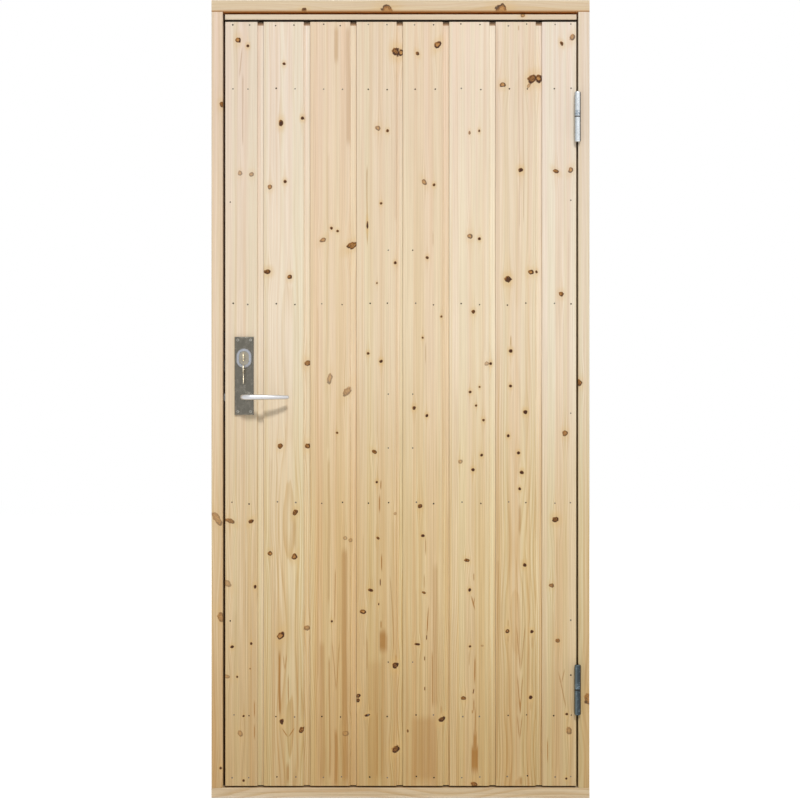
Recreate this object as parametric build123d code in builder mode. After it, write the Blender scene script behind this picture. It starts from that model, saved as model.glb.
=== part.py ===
"""Outward-opening shed door: a pine leaf of overlapping boards in a rebated pine frame.

X runs across the doorway, with the lock on the low side and the hinges on the high side.
Y runs inwards: the outside of the door looks along -Y. Z is up, from the sill's underside.
All sizes are in millimetres.
"""

from build123d import *
import math
import os

os.makedirs("parts", exist_ok=True)

# Frame, a common ten by twenty-one door module
frame_width = 990.0
frame_height = 2090.0
frame_depth = 92.0
jamb_face = 29.5
head_face = 31.0
sill_face = 27.0
stop_depth = 29.0
stop_width = 15.0
sill_stop_height = 15.0
arris = 2.0

# Gaps between the leaf and its frame
lock_gap = 6.5
hinge_gap = 5.0
head_gap = 7.0
sill_gap = 5.0
leaf_setback = 2.0

# Leaf
board_thickness = 22.0
stock_thickness = 34.0
board_count = 8
board_face = 105.0
first_board_trim = 2.75
board_arris = 1.2
channel_width = 16.5
channel_depth = 9.0
lip_under = 8.0
lap_clearance = 0.3
edge_set_in = 1.5
stile_width = 98.0
centre_stile_width = 95.0
wide_rail = 210.0
mid_rail = 95.0
upper_mid_rail_drop = 758.0
lower_mid_rail_rise = 741.0
strip_height = 14.5
strip_proud = 4.0
strip_arris = 1.0
strip_gap = 4.5

# Rubber seal on the stops
seal_width = 9.0
seal_clearance = 0.3

# Lift-off hinges
knuckle_radius = 8.3
knuckle_half = 66.0
knuckle_stand_off = 0.7
knuckle_offset = 2.5
knuckle_round = 4.0
hinge_split = 0.3
pin_radius = 4.0
pin_clearance = 0.05
pin_length = 44.0
pin_end_room = 4.0
pin_chamfer = 1.0
flag_thickness = 2.5
flag_depth = 45.0
flag_from_pin = 0.5
upper_hinge_drop = 269.0
lower_hinge_rise = 253.0

# Lock case and strike
backset = 50.0
spindle_z = 1050.0
centre_distance = 105.0
case_depth = 75.0
case_thickness = 15.0
case_below = 45.0
case_above = 40.0
forend_thickness = 3.0
forend_width = 24.0
forend_height = 235.0
forend_below = 62.0
strike_thickness = 2.5
strike_round = 4.0
strike_pocket_depth = 18.0
bolt_hole_clearance = 2.5
slide_clearance = 0.4

# Latch and deadbolt
latch_throw = 13.0
latch_height = 18.0
latch_thickness = 11.0
latch_length = 38.0
latch_nose = 2.0
deadbolt_drop = 20.0
deadbolt_height = 26.0
deadbolt_thickness = 10.0
deadbolt_length = 34.0

# Plates on both faces
plate_width = 50.0
plate_above_cylinder = 53.0
plate_below_spindle = 46.0
plate_thickness = 7.0
plate_bevel = 3.0
plate_bevel_depth = 1.5
bearing_clearance = 0.3

# Cylinder, its guard and the turn knob inside
guard_width = 39.0
guard_height = 50.0
guard_thickness = 8.0
guard_drop = 3.0
guard_band = 6.5
guard_chamfer = 2.0
housing_gap = 0.3
housing_proud = 5.5
housing_depth = 30.0
housing_barrel_radius = 11.0
plug_radius = 8.5
plug_clearance = 0.05
plug_proud = 1.0
barrel_hole_clearance = 3.0
bar_radius = 2.5
bar_clearance = 2.5
knob_rose_radius = 14.0
knob_rose_thickness = 5.0
knob_width = 9.0
knob_height = 27.0
knob_depth = 17.0

# Keys and split ring
key_thickness = 2.2
key_bow_radius = 12.0
key_hole_radius = 5.5
key_blade_width = 8.0
key_blade_length = 28.0
key_shoulder = 4.0
ring_radius = 11.0
ring_wire = 0.75
ring_clearance = 0.3

# Lever handles on one square spindle
spindle_width = 8.0
spindle_room = 1.5
follower_room = 0.75
spindle_grip = 20.0
neck_radius = 7.5
neck_length = 28.0
neck_bend_radius = 22.0
lever_bow_radius = 190.0
lever_bow_angle = 29.0
lever_middle_radius = 6.6
lever_tip_radius = 5.2
neck_share = 0.25
lever_middle_share = 0.6

# Fixing holes through the jambs, for adjustable frame screws
fixing_radius = 7.0
fixing_count = 4
fixing_end_distance = 200.0

# Places worked out from the sizes above
front = -frame_depth / 2
back = frame_depth / 2
side = frame_width / 2
rebate_x = side - jamb_face
stop_x = rebate_x - stop_width
stop_front = back - stop_depth
head_z = frame_height - head_face
stop_head_z = head_z - stop_width
stop_sill_z = sill_face + sill_stop_height

leaf_left = -rebate_x + lock_gap
leaf_right = rebate_x - hinge_gap
leaf_bottom = sill_face + sill_gap
leaf_top = head_z - head_gap
board_top = leaf_top - strip_height - strip_gap
leaf_front = front + leaf_setback
stock_front = leaf_front + board_thickness
leaf_back = stock_front + stock_thickness
stile_left = leaf_left + edge_set_in
lip_front = leaf_front + channel_depth
upper_mid_rail_z = leaf_top - upper_mid_rail_drop
lower_mid_rail_z = leaf_bottom + lower_mid_rail_rise

board_pitch = board_face + channel_width
edge_faces = leaf_right - leaf_left - (board_count - 2) * board_face - (board_count - 1) * channel_width
first_board_face = edge_faces / 2 - first_board_trim

hinge_x = leaf_right + knuckle_offset
hinge_y = front - knuckle_stand_off - knuckle_radius
upper_hinge_z = leaf_top - upper_hinge_drop
lower_hinge_z = leaf_bottom + lower_hinge_rise
fixing_spacing = (frame_height - 2 * fixing_end_distance) / (fixing_count - 1)

lock_x = leaf_left + backset
lock_y = (stock_front + leaf_back) / 2
cylinder_z = spindle_z + centre_distance
outer_plate_face = leaf_front - plate_thickness
inner_plate_face = leaf_back + plate_thickness
plate_bottom = spindle_z - plate_below_spindle
plate_top = cylinder_z + plate_above_cylinder
forend_bottom = spindle_z - forend_below
latch_z = spindle_z
deadbolt_z = cylinder_z - deadbolt_drop

housing_face = outer_plate_face - housing_proud
plug_face = housing_face - plug_proud
bow_y = plug_face - key_shoulder - key_bow_radius
ring_top = cylinder_z - key_hole_radius + ring_wire + ring_clearance
ring_centre = ring_top - ring_radius
ring_bottom = ring_centre - ring_radius
spare_bow_z = ring_bottom + ring_wire + ring_clearance - key_hole_radius
mirror_plane = Plane.XZ.offset(-(outer_plate_face + inner_plate_face) / 2)


def keep(builder, name):
    """Labels a finished piece and writes it to its own file."""
    builder.part.label = name
    export_step(builder.part, f"parts/{name}.step")


def block(x_from, x_to, y_from, y_to, z_from, z_to, mode=Mode.ADD):
    """A square-edged block between two corners, inside the builder in use."""
    with BuildSketch(Plane.XY.offset(z_from)) as outline:
        with Locations(((x_from + x_to) / 2, (y_from + y_to) / 2)):
            Rectangle(x_to - x_from, y_to - y_from)
    extrude(outline.sketch, amount=z_to - z_from, mode=mode)


def hole_along_y(x, z, radius, y_from, y_to):
    """A round hole through the builder in use, between two depths."""
    with BuildSketch(Plane.XZ.offset(-y_to)) as outline:
        with Locations((x, z)):
            Circle(radius)
    extrude(outline.sketch, amount=y_to - y_from, mode=Mode.SUBTRACT)


def make_head():
    with BuildPart() as head:
        block(-side, side, front, back, head_z, frame_height)
        block(-stop_x, stop_x, stop_front, back, stop_head_z, head_z)
        fillet(head.edges().filter_by(Axis.X).group_by(Axis.Y)[0], radius=arris)
    keep(head, "head")


def make_threshold():
    with BuildPart() as threshold:
        block(-side, side, front, back, 0, sill_face)
        block(-stop_x, stop_x, stop_front, back, sill_face, stop_sill_z)
        fillet(threshold.edges().filter_by(Axis.X).group_by(Axis.Y)[0], radius=arris)
    keep(threshold, "threshold")


def jamb_section(hand):
    """The rebated section of a jamb: hand is -1 at the lock and 1 at the hinges."""
    with BuildSketch(Plane.XY.offset(sill_face)) as outline:
        with BuildLine():
            Polyline(
                (hand * side, front),
                (hand * rebate_x, front),
                (hand * rebate_x, stop_front),
                (hand * stop_x, stop_front),
                (hand * stop_x, back),
                (hand * side, back),
                close=True,
            )
        make_face()
    extrude(outline.sketch, amount=head_z - sill_face)


def fixing_holes(hand):
    """Screw holes through the thick part of a jamb, behind the leaf."""
    outer = Plane(origin=(hand * side, 0, 0), x_dir=(0, 1, 0), z_dir=(-hand, 0, 0))
    hole_y = (stop_front + back) / 2
    with BuildSketch(outer) as outline:
        for number in range(fixing_count):
            hole_z = fixing_end_distance + number * fixing_spacing
            with Locations((hole_y, -hand * hole_z)):
                Circle(fixing_radius)
    extrude(outline.sketch, amount=jamb_face + stop_width, mode=Mode.SUBTRACT)


def make_lock_jamb():
    with BuildPart() as lock_jamb:
        jamb_section(-1)
        fillet(lock_jamb.edges().filter_by(Axis.Z).group_by(Axis.Y)[0], radius=arris)
        fixing_holes(-1)
        strike_from = lock_y - forend_width / 2
        strike_to = lock_y + forend_width / 2
        block(
            -rebate_x - strike_thickness,
            -rebate_x,
            strike_from,
            strike_to,
            forend_bottom,
            forend_bottom + forend_height,
            mode=Mode.SUBTRACT,
        )
        for bolt_z, height, thickness in bolt_holes():
            block(
                -rebate_x - strike_pocket_depth,
                -rebate_x,
                lock_y - thickness / 2,
                lock_y + thickness / 2,
                bolt_z - height / 2,
                bolt_z + height / 2,
                mode=Mode.SUBTRACT,
            )
    keep(lock_jamb, "lock_jamb")


def bolt_holes():
    """Centre height, height and width of the strike's two holes."""
    room = 2 * bolt_hole_clearance
    return (
        (latch_z, latch_height + room, latch_thickness + room),
        (deadbolt_z, deadbolt_height + room, deadbolt_thickness + room),
    )


def make_strike():
    with BuildPart() as strike:
        block(
            -rebate_x - strike_thickness,
            -rebate_x,
            lock_y - forend_width / 2,
            lock_y + forend_width / 2,
            forend_bottom,
            forend_bottom + forend_height,
        )
        fillet(strike.edges().filter_by(Axis.X), radius=strike_round)
        for bolt_z, height, thickness in bolt_holes():
            block(
                -rebate_x - strike_thickness,
                -rebate_x,
                lock_y - thickness / 2,
                lock_y + thickness / 2,
                bolt_z - height / 2,
                bolt_z + height / 2,
                mode=Mode.SUBTRACT,
            )
    keep(strike, "strike_plate")


def make_hinge_jamb():
    with BuildPart() as hinge_jamb:
        jamb_section(1)
        fillet(hinge_jamb.edges().filter_by(Axis.Z).group_by(Axis.Y)[0], radius=arris)
        fixing_holes(1)
        for split_z in (upper_hinge_z, lower_hinge_z):
            block(
                rebate_x,
                rebate_x + flag_thickness,
                front,
                hinge_y + flag_depth,
                split_z - knuckle_half + knuckle_round,
                split_z,
                mode=Mode.SUBTRACT,
            )
    keep(hinge_jamb, "hinge_jamb")


def make_seals():
    """One rubber strip on the face of each stop, just short of the leaf's back."""
    seal_front = leaf_back + seal_clearance
    lower = stop_sill_z
    upper = stop_head_z
    with BuildPart() as seal_head:
        block(-stop_x, stop_x, seal_front, stop_front, upper, upper + seal_width)
    keep(seal_head, "seal_head")
    for hand, name in ((-1, "seal_lock_side"), (1, "seal_hinge_side")):
        near, far = sorted((hand * stop_x, hand * (stop_x + seal_width)))
        with BuildPart() as seal:
            block(near, far, seal_front, stop_front, lower, upper + seal_width)
        keep(seal, name)


def flag_section(x_from, x_to):
    """The hinge's flat flag, from inside the knuckle back into the door's gap."""
    start = pin_radius + flag_from_pin
    with Locations(((x_from + x_to) / 2, hinge_y + (start + flag_depth) / 2)):
        Rectangle(x_to - x_from, flag_depth - start)


def make_frame_hinge(split_z, name):
    with BuildPart() as hinge:
        with BuildSketch(Plane.XY.offset(split_z - knuckle_half)):
            with Locations((hinge_x, hinge_y)):
                Circle(knuckle_radius)
        extrude(amount=knuckle_half)
        fillet(hinge.edges().group_by(Axis.Z)[0], radius=knuckle_round)
        with BuildSketch(Plane.XY.offset(split_z - knuckle_half + knuckle_round)):
            flag_section(rebate_x, rebate_x + flag_thickness)
        extrude(amount=knuckle_half - knuckle_round)
        with BuildSketch(Plane.XY.offset(split_z)):
            with Locations((hinge_x, hinge_y)):
                Circle(pin_radius)
        extrude(amount=pin_length)
        chamfer(hinge.edges().group_by(Axis.Z)[-1], length=pin_chamfer)
    keep(hinge, name)


def make_leaf_hinge(split_z, name):
    bottom = split_z + hinge_split
    with BuildPart() as hinge:
        with BuildSketch(Plane.XY.offset(bottom)):
            with Locations((hinge_x, hinge_y)):
                Circle(knuckle_radius)
        extrude(amount=knuckle_half)
        fillet(hinge.edges().group_by(Axis.Z)[-1], radius=knuckle_round)
        with BuildSketch(Plane.XY.offset(bottom)):
            flag_section(leaf_right - flag_thickness, leaf_right)
        extrude(amount=knuckle_half - knuckle_round)
        with BuildSketch(Plane.XY.offset(bottom)):
            with Locations((hinge_x, hinge_y)):
                Circle(pin_radius + pin_clearance)
        extrude(amount=pin_length + pin_end_room, mode=Mode.SUBTRACT)
    keep(hinge, name)


def cut_leaf_flags():
    """Recesses for the leaf's hinge flags in the edge of the piece in use."""
    for split_z in (upper_hinge_z, lower_hinge_z):
        block(
            leaf_right - flag_thickness,
            leaf_right,
            leaf_front,
            hinge_y + flag_depth,
            split_z + hinge_split,
            split_z + hinge_split + knuckle_half - knuckle_round,
            mode=Mode.SUBTRACT,
        )


def cut_lock_holes(y_from, y_to):
    """Holes for the spindle and the cylinder's barrel through the piece in use."""
    hole_along_y(lock_x, spindle_z, neck_radius + spindle_room, y_from, y_to)
    hole_along_y(lock_x, cylinder_z, housing_barrel_radius + barrel_hole_clearance, y_from, y_to)


def board_left(number):
    """Left edge of a board's visible face, the first board being number 0."""
    if number == 0:
        return leaf_left
    return leaf_left + first_board_face + channel_width + (number - 1) * board_pitch


def make_boards():
    """Each board laps over the thin lip of the board on its left."""
    for number in range(board_count):
        left = board_left(number)
        last = number == board_count - 1
        with BuildPart() as board:
            if last:
                right = leaf_right
                end = leaf_right
            else:
                right = board_left(number + 1) - channel_width
                end = right + channel_width + lip_under
            rear_left = left if number == 0 else left + lip_under + lap_clearance
            with BuildSketch(Plane.XY.offset(leaf_bottom)):
                with BuildLine():
                    outline = [(left, leaf_front), (right, leaf_front)]
                    if not last:
                        outline += [(right, lip_front), (end, lip_front)]
                    outline += [(end, stock_front), (rear_left, stock_front)]
                    if number > 0:
                        lap_face = lip_front - lap_clearance
                        outline += [(rear_left, lap_face), (left, lap_face)]
                    Polyline(*outline, close=True)
                make_face()
            extrude(amount=board_top - leaf_bottom)
            fillet(board.edges().filter_by(Axis.Z).group_by(Axis.Y)[0], radius=board_arris)
            if left < lock_x + housing_barrel_radius + barrel_hole_clearance:
                cut_lock_holes(leaf_front, stock_front)
            if last:
                cut_leaf_flags()
        keep(board, f"board_{number + 1}")


def make_drip_strip():
    """The strip on the top rail that covers the boards' upper ends, with a gap for water below it."""
    with BuildPart() as strip:
        strip_face = leaf_front - strip_proud
        block(leaf_left, leaf_right, strip_face, stock_front, leaf_top - strip_height, leaf_top)
        chamfer(strip.edges().filter_by(Axis.X).group_by(Axis.Y)[0], length=strip_arris)
    keep(strip, "drip_strip")


def make_rails():
    rails = (
        ("top_rail", leaf_top - wide_rail, leaf_top),
        ("upper_mid_rail", upper_mid_rail_z - mid_rail / 2, upper_mid_rail_z + mid_rail / 2),
        ("lower_mid_rail", lower_mid_rail_z - mid_rail / 2, lower_mid_rail_z + mid_rail / 2),
        ("bottom_rail", leaf_bottom, leaf_bottom + wide_rail),
    )
    for name, bottom, top in rails:
        with BuildPart() as rail:
            block(
                stile_left + stile_width,
                leaf_right - stile_width,
                stock_front,
                leaf_back,
                bottom,
                top,
            )
        keep(rail, name)
    with BuildPart() as centre:
        for (_, _, below), (_, above, _) in zip(rails[::-1][:-1], rails[::-1][1:]):
            block(
                -centre_stile_width / 2,
                centre_stile_width / 2,
                stock_front,
                leaf_back,
                below,
                above,
            )
    keep(centre, "centre_stile")


def make_stiles():
    with BuildPart() as hinge_stile:
        block(leaf_right - stile_width, leaf_right, stock_front, leaf_back, leaf_bottom, leaf_top)
        cut_leaf_flags()
    keep(hinge_stile, "hinge_stile")
    with BuildPart() as lock_stile:
        block(stile_left, stile_left + stile_width, stock_front, leaf_back, leaf_bottom, leaf_top)
        cut_lock_holes(stock_front, leaf_back)
        block(
            stile_left,
            stile_left + forend_thickness,
            lock_y - forend_width / 2,
            lock_y + forend_width / 2,
            forend_bottom,
            forend_bottom + forend_height,
            mode=Mode.SUBTRACT,
        )
        block(
            stile_left,
            stile_left + case_depth,
            lock_y - case_thickness / 2,
            lock_y + case_thickness / 2,
            spindle_z - case_below,
            cylinder_z + case_above,
            mode=Mode.SUBTRACT,
        )
    keep(lock_stile, "lock_stile")


def make_lock_case():
    """Case and face strip in one, hollow where the two bolts slide."""
    with BuildPart() as case:
        block(
            stile_left,
            stile_left + case_depth,
            lock_y - case_thickness / 2,
            lock_y + case_thickness / 2,
            spindle_z - case_below,
            cylinder_z + case_above,
        )
        block(
            stile_left,
            stile_left + forend_thickness,
            lock_y - forend_width / 2,
            lock_y + forend_width / 2,
            forend_bottom,
            forend_bottom + forend_height,
        )
        bolts = (
            (latch_z, latch_height, latch_thickness, latch_length),
            (deadbolt_z, deadbolt_height, deadbolt_thickness, deadbolt_length + slide_clearance),
        )
        for bolt_z, height, thickness, depth in bolts:
            block(
                stile_left,
                stile_left + depth,
                lock_y - thickness / 2 - slide_clearance,
                lock_y + thickness / 2 + slide_clearance,
                bolt_z - height / 2 - slide_clearance,
                bolt_z + height / 2 + slide_clearance,
                mode=Mode.SUBTRACT,
            )
        case_front = lock_y - case_thickness / 2
        case_back = lock_y + case_thickness / 2
        follower_radius = spindle_width / math.sqrt(2) + follower_room
        hole_along_y(lock_x, spindle_z, follower_radius, case_front, case_back)
        hole_along_y(lock_x, cylinder_z, bar_radius + bar_clearance, case_front, case_back)
    keep(case, "lock_case")


def make_latch():
    """The bevelled latch: its slope faces inwards, so that closing pushes it in."""
    nose = stile_left - latch_throw
    tail = stile_left + latch_length - latch_throw
    near = lock_y - latch_thickness / 2
    far = lock_y + latch_thickness / 2
    with BuildPart() as latch:
        with BuildSketch(Plane.XY.offset(latch_z - latch_height / 2)):
            with BuildLine():
                Polyline(
                    (tail, near),
                    (tail, far),
                    (stile_left, far),
                    (nose, near + latch_nose),
                    (nose, near),
                    close=True,
                )
            make_face()
        extrude(amount=latch_height)
    keep(latch, "latch_bolt")


def make_deadbolt():
    with BuildPart() as deadbolt:
        block(
            stile_left,
            stile_left + deadbolt_length,
            lock_y - deadbolt_thickness / 2,
            lock_y + deadbolt_thickness / 2,
            deadbolt_z - deadbolt_height / 2,
            deadbolt_z + deadbolt_height / 2,
        )
    keep(deadbolt, "deadbolt")


def plate_solid(builder, y_from, y_to, outward):
    """A long plate in the given builder, with sloped edges on its outward face."""
    block(lock_x - plate_width / 2, lock_x + plate_width / 2, y_from, y_to, plate_bottom, plate_top)
    faces = builder.faces().sort_by(Axis.Y)
    face = faces[0] if outward < 0 else faces[-1]
    chamfer(face.edges(), length=plate_bevel, length2=plate_bevel_depth)


def make_plates():
    with BuildPart() as outer:
        plate_solid(outer, outer_plate_face, leaf_front, -1)
        hole_along_y(lock_x, spindle_z, neck_radius + bearing_clearance, outer_plate_face, leaf_front)
        hole_along_y(lock_x, cylinder_z, housing_barrel_radius, outer_plate_face, leaf_front)
    keep(outer, "outer_plate")
    with BuildPart() as inner:
        plate_solid(inner, leaf_back, inner_plate_face, 1)
        hole_along_y(lock_x, spindle_z, neck_radius + bearing_clearance, leaf_back, inner_plate_face)
        hole_along_y(lock_x, cylinder_z, bar_radius + bar_clearance, leaf_back, inner_plate_face)
    keep(inner, "inner_plate")


def oval(width, height):
    """An upright oval with straight sides, centred on the place in use."""
    SlotOverall(height, width, rotation=90)


def make_cylinder():
    guard_z = cylinder_z - guard_drop
    with BuildPart() as guard:
        with BuildSketch(Plane.XZ.offset(-outer_plate_face)):
            with Locations((lock_x, guard_z)):
                oval(guard_width, guard_height)
        extrude(amount=guard_thickness)
        chamfer(guard.faces().sort_by(Axis.Y)[0].edges(), length=guard_chamfer)
        with BuildSketch(Plane.XZ.offset(-outer_plate_face)):
            with Locations((lock_x, guard_z)):
                oval(guard_width - 2 * guard_band, guard_height - 2 * guard_band)
        extrude(amount=guard_thickness, mode=Mode.SUBTRACT)
    keep(guard, "cylinder_guard")
    inner_width = guard_width - 2 * guard_band - 2 * housing_gap
    inner_height = guard_height - 2 * guard_band - 2 * housing_gap
    with BuildPart() as housing:
        with BuildSketch(Plane.XZ.offset(-outer_plate_face)):
            with Locations((lock_x, guard_z)):
                oval(inner_width, inner_height)
        extrude(amount=housing_proud)
        with BuildSketch(Plane.XZ.offset(-outer_plate_face)):
            with Locations((lock_x, cylinder_z)):
                Circle(housing_barrel_radius)
        extrude(amount=-housing_depth)
        housing_end = outer_plate_face + housing_depth
        hole_along_y(lock_x, cylinder_z, plug_radius + plug_clearance, housing_face, housing_end)
    keep(housing, "cylinder_housing")


def make_plug_and_key():
    blade_end = plug_face + key_blade_length
    with BuildPart() as plug:
        with BuildSketch(Plane.XZ.offset(-plug_face)):
            with Locations((lock_x, cylinder_z)):
                Circle(plug_radius)
        extrude(amount=-(outer_plate_face + housing_depth - plug_face))
        block(
            lock_x - key_thickness / 2,
            lock_x + key_thickness / 2,
            plug_face,
            blade_end,
            cylinder_z - key_blade_width / 2,
            cylinder_z + key_blade_width / 2,
            mode=Mode.SUBTRACT,
        )
    keep(plug, "cylinder_plug")
    with BuildPart() as key:
        with BuildSketch(Plane.YZ.offset(lock_x - key_thickness / 2)):
            with Locations((bow_y, cylinder_z)):
                Circle(key_bow_radius)
            with Locations(((bow_y + blade_end) / 2, cylinder_z)):
                Rectangle(blade_end - bow_y, key_blade_width)
            with Locations((bow_y, cylinder_z)):
                Circle(key_hole_radius, mode=Mode.SUBTRACT)
        extrude(amount=key_thickness)
    keep(key, "key")


def make_ring_and_spare_key():
    with BuildPart() as ring:
        with BuildSketch(Plane((lock_x, bow_y, ring_top), x_dir=(0, 1, 0), z_dir=(1, 0, 0))):
            Circle(ring_wire)
        revolve(axis=Axis((lock_x, bow_y, ring_centre), (0, 1, 0)))
    keep(ring, "key_ring")
    with BuildPart() as spare:
        with BuildSketch(Plane.YZ.offset(lock_x - key_thickness / 2)):
            with Locations((bow_y, spare_bow_z)):
                Circle(key_bow_radius)
            blade_middle = spare_bow_z - (key_bow_radius + key_blade_length) / 2
            with Locations((bow_y, blade_middle)):
                Rectangle(key_blade_width, key_bow_radius + key_blade_length)
            with Locations((bow_y, spare_bow_z)):
                Circle(key_hole_radius, mode=Mode.SUBTRACT)
        extrude(amount=key_thickness)
    keep(spare, "spare_key")


def make_turn_knob():
    """Inside knob, joined to the plug by a round bar through the lock case."""
    bar_start = outer_plate_face + housing_depth
    rose_face = inner_plate_face + bearing_clearance
    with BuildPart() as knob:
        with BuildSketch(Plane.XZ.offset(-bar_start)):
            with Locations((lock_x, cylinder_z)):
                Circle(bar_radius)
        extrude(amount=-(rose_face - bar_start))
        with BuildSketch(Plane.XZ.offset(-rose_face)):
            with Locations((lock_x, cylinder_z)):
                Circle(knob_rose_radius)
        extrude(amount=-knob_rose_thickness)
        with BuildSketch(Plane.XZ.offset(-rose_face - knob_rose_thickness)):
            with Locations((lock_x, cylinder_z)):
                oval(knob_width, knob_height)
        extrude(amount=-knob_depth)
    keep(knob, "turn_knob")


def make_levers():
    """A round lever that bends sideways from its neck and bows back towards the door."""
    start = (lock_x, outer_plate_face + plate_thickness / 2, spindle_z)
    with BuildPart() as outer:
        with BuildLine(Plane.XY.offset(spindle_z)) as path:
            neck = Line((start[0], start[1]), (start[0], outer_plate_face - neck_length))
            bend = JernArc(start=neck @ 1, tangent=neck % 1, radius=neck_bend_radius, arc_size=90)
            JernArc(start=bend @ 1, tangent=bend % 1, radius=lever_bow_radius, arc_size=lever_bow_angle)
        sections = (
            (0.0, neck_radius),
            (neck_share, neck_radius),
            (lever_middle_share, lever_middle_radius),
            (1.0, lever_tip_radius),
        )
        for share, radius in sections:
            with BuildSketch(Plane(origin=path.line @ share, z_dir=path.line % share)):
                Circle(radius)
        sweep(path=path.line, multisection=True)
        with Locations(path.line @ 1):
            Sphere(lever_tip_radius)
        block(
            lock_x - spindle_width / 2,
            lock_x + spindle_width / 2,
            outer_plate_face - spindle_grip,
            outer_plate_face + plate_thickness,
            spindle_z - spindle_width / 2,
            spindle_z + spindle_width / 2,
            mode=Mode.SUBTRACT,
        )
    keep(outer, "outer_lever")
    with BuildPart() as inner:
        add(outer.part.mirror(mirror_plane))
    keep(inner, "inner_lever")
    with BuildPart() as spindle:
        block(
            lock_x - spindle_width / 2,
            lock_x + spindle_width / 2,
            outer_plate_face - spindle_grip,
            inner_plate_face + spindle_grip,
            spindle_z - spindle_width / 2,
            spindle_z + spindle_width / 2,
        )
    keep(spindle, "spindle")


make_head()
make_threshold()
make_lock_jamb()
make_strike()
make_hinge_jamb()
make_seals()
make_frame_hinge(upper_hinge_z, "frame_hinge_upper")
make_frame_hinge(lower_hinge_z, "frame_hinge_lower")
make_leaf_hinge(upper_hinge_z, "leaf_hinge_upper")
make_leaf_hinge(lower_hinge_z, "leaf_hinge_lower")
make_boards()
make_drip_strip()
make_rails()
make_stiles()
make_lock_case()
make_latch()
make_deadbolt()
make_plates()
make_cylinder()
make_plug_and_key()
make_ring_and_spare_key()
make_turn_knob()
make_levers()
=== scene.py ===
# %% [markdown]
# # A pine shed door
# The object is a boarded door in its own frame: eight overlapping pine boards, a drip strip, two lift-off
# hinges and a lever lock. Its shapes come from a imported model, so this lesson is about the looks: wood
# that has real growth rings and knots, metal with a believable sheen, and the small things that are
# fastened on.

# %% Load the door
import bpy
import math
import random
from mathutils import Matrix, Vector


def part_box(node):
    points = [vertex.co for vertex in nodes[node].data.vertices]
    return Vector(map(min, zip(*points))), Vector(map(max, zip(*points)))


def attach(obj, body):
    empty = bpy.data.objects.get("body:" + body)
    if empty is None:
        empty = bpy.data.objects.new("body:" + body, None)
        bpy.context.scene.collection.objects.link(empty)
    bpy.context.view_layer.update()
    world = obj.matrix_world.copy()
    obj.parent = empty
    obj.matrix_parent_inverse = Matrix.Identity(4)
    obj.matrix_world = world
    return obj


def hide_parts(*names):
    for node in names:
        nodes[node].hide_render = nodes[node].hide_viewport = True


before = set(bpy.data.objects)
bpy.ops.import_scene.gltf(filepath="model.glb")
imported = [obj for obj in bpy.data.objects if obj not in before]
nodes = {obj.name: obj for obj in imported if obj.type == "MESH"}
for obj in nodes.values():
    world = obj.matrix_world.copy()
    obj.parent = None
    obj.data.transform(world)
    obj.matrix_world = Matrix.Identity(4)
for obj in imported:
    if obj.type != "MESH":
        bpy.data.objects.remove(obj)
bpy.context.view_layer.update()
mm = 0.001
print("pieces in the packed door:", len(nodes))

# %% [markdown]
# Where a position follows from a piece of the door, it is read from that piece. A box gives a piece's
# lowest and highest corner, so the height of a hinge or the face of a board never has to be typed in
# twice. The head is an exception: its lip behind hangs lower than its front, so the lowest of its front
# vertices is looked up.

# %% Places that many pieces share
board_names = [f"board_{count}" for count in range(1, 9)]
board_face_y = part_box("board_2")[0][1]
board_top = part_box("board_2")[1][2]
head_bottom = min(vertex.co.z for vertex in nodes["head"].data.vertices if vertex.co.y < 0)
strip_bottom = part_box("drip_strip")[0][2]
frame_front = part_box("lock_jamb")[0][1]
door_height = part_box("head")[1][2]
print("boards reach up to", round(board_top, 3), "and the head down to", round(head_bottom, 3))

# %% [markdown]
# The photograph was taken straight on, from the middle of the door, with a long lens, so its verticals
# stay parallel. The door fills the picture from the first row of pixels to just above the last one. From
# the distance and the width of the view, the lens length follows by similar triangles.

# %% Camera
photo_pixels = 800
door_bottom_pixel = 798.2
door_middle_pixel = 400.5
camera_distance = 5.0
sensor = 36.0
metres_per_pixel = door_height / door_bottom_pixel
view_width = metres_per_pixel * photo_pixels


def new_object(name, data):
    """Puts a mesh, a curve, a lamp or a camera in the scene."""
    thing = bpy.data.objects.new(name, data)
    bpy.context.scene.collection.objects.link(thing)
    return thing


camera_data = bpy.data.cameras.new("camera")
camera_data.sensor_width = sensor
camera_data.lens = sensor * camera_distance / view_width
camera = new_object("camera", camera_data)
camera_x = (photo_pixels / 2 - door_middle_pixel) * metres_per_pixel
camera_z = door_height - photo_pixels / 2 * metres_per_pixel
camera.location = (camera_x, frame_front - camera_distance, camera_z)
camera.rotation_euler = (math.radians(90), 0, 0)
bpy.context.scene.camera = camera
bpy.context.scene.view_settings.view_transform = "Standard"
print("lens of", round(camera_data.lens, 1), "mm")

# %% [markdown]
# Node trees are easier to read when the small steps have names. These helpers place one or two nodes each
# and return the socket that carries the result, so a formula can be written almost as it would be on
# paper.

# %% Node helpers: numbers
def put(tree, target, value):
    """Links a socket, or sets a plain value."""
    if isinstance(value, bpy.types.NodeSocket):
        tree.links.new(value, target)
    else:
        target.default_value = value


def maths(tree, operation, first, second=None, clamp=False):
    node = tree.nodes.new("ShaderNodeMath")
    node.operation = operation
    node.use_clamp = clamp
    put(tree, node.inputs[0], first)
    if second is not None:
        put(tree, node.inputs[1], second)
    return node.outputs[0]


def plus(tree, first, second, clamp=False):
    return maths(tree, "ADD", first, second, clamp)


def minus(tree, first, second):
    return maths(tree, "SUBTRACT", first, second)


def times(tree, first, second, clamp=False):
    return maths(tree, "MULTIPLY", first, second, clamp)


def squared(tree, value):
    return times(tree, value, value)


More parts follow.
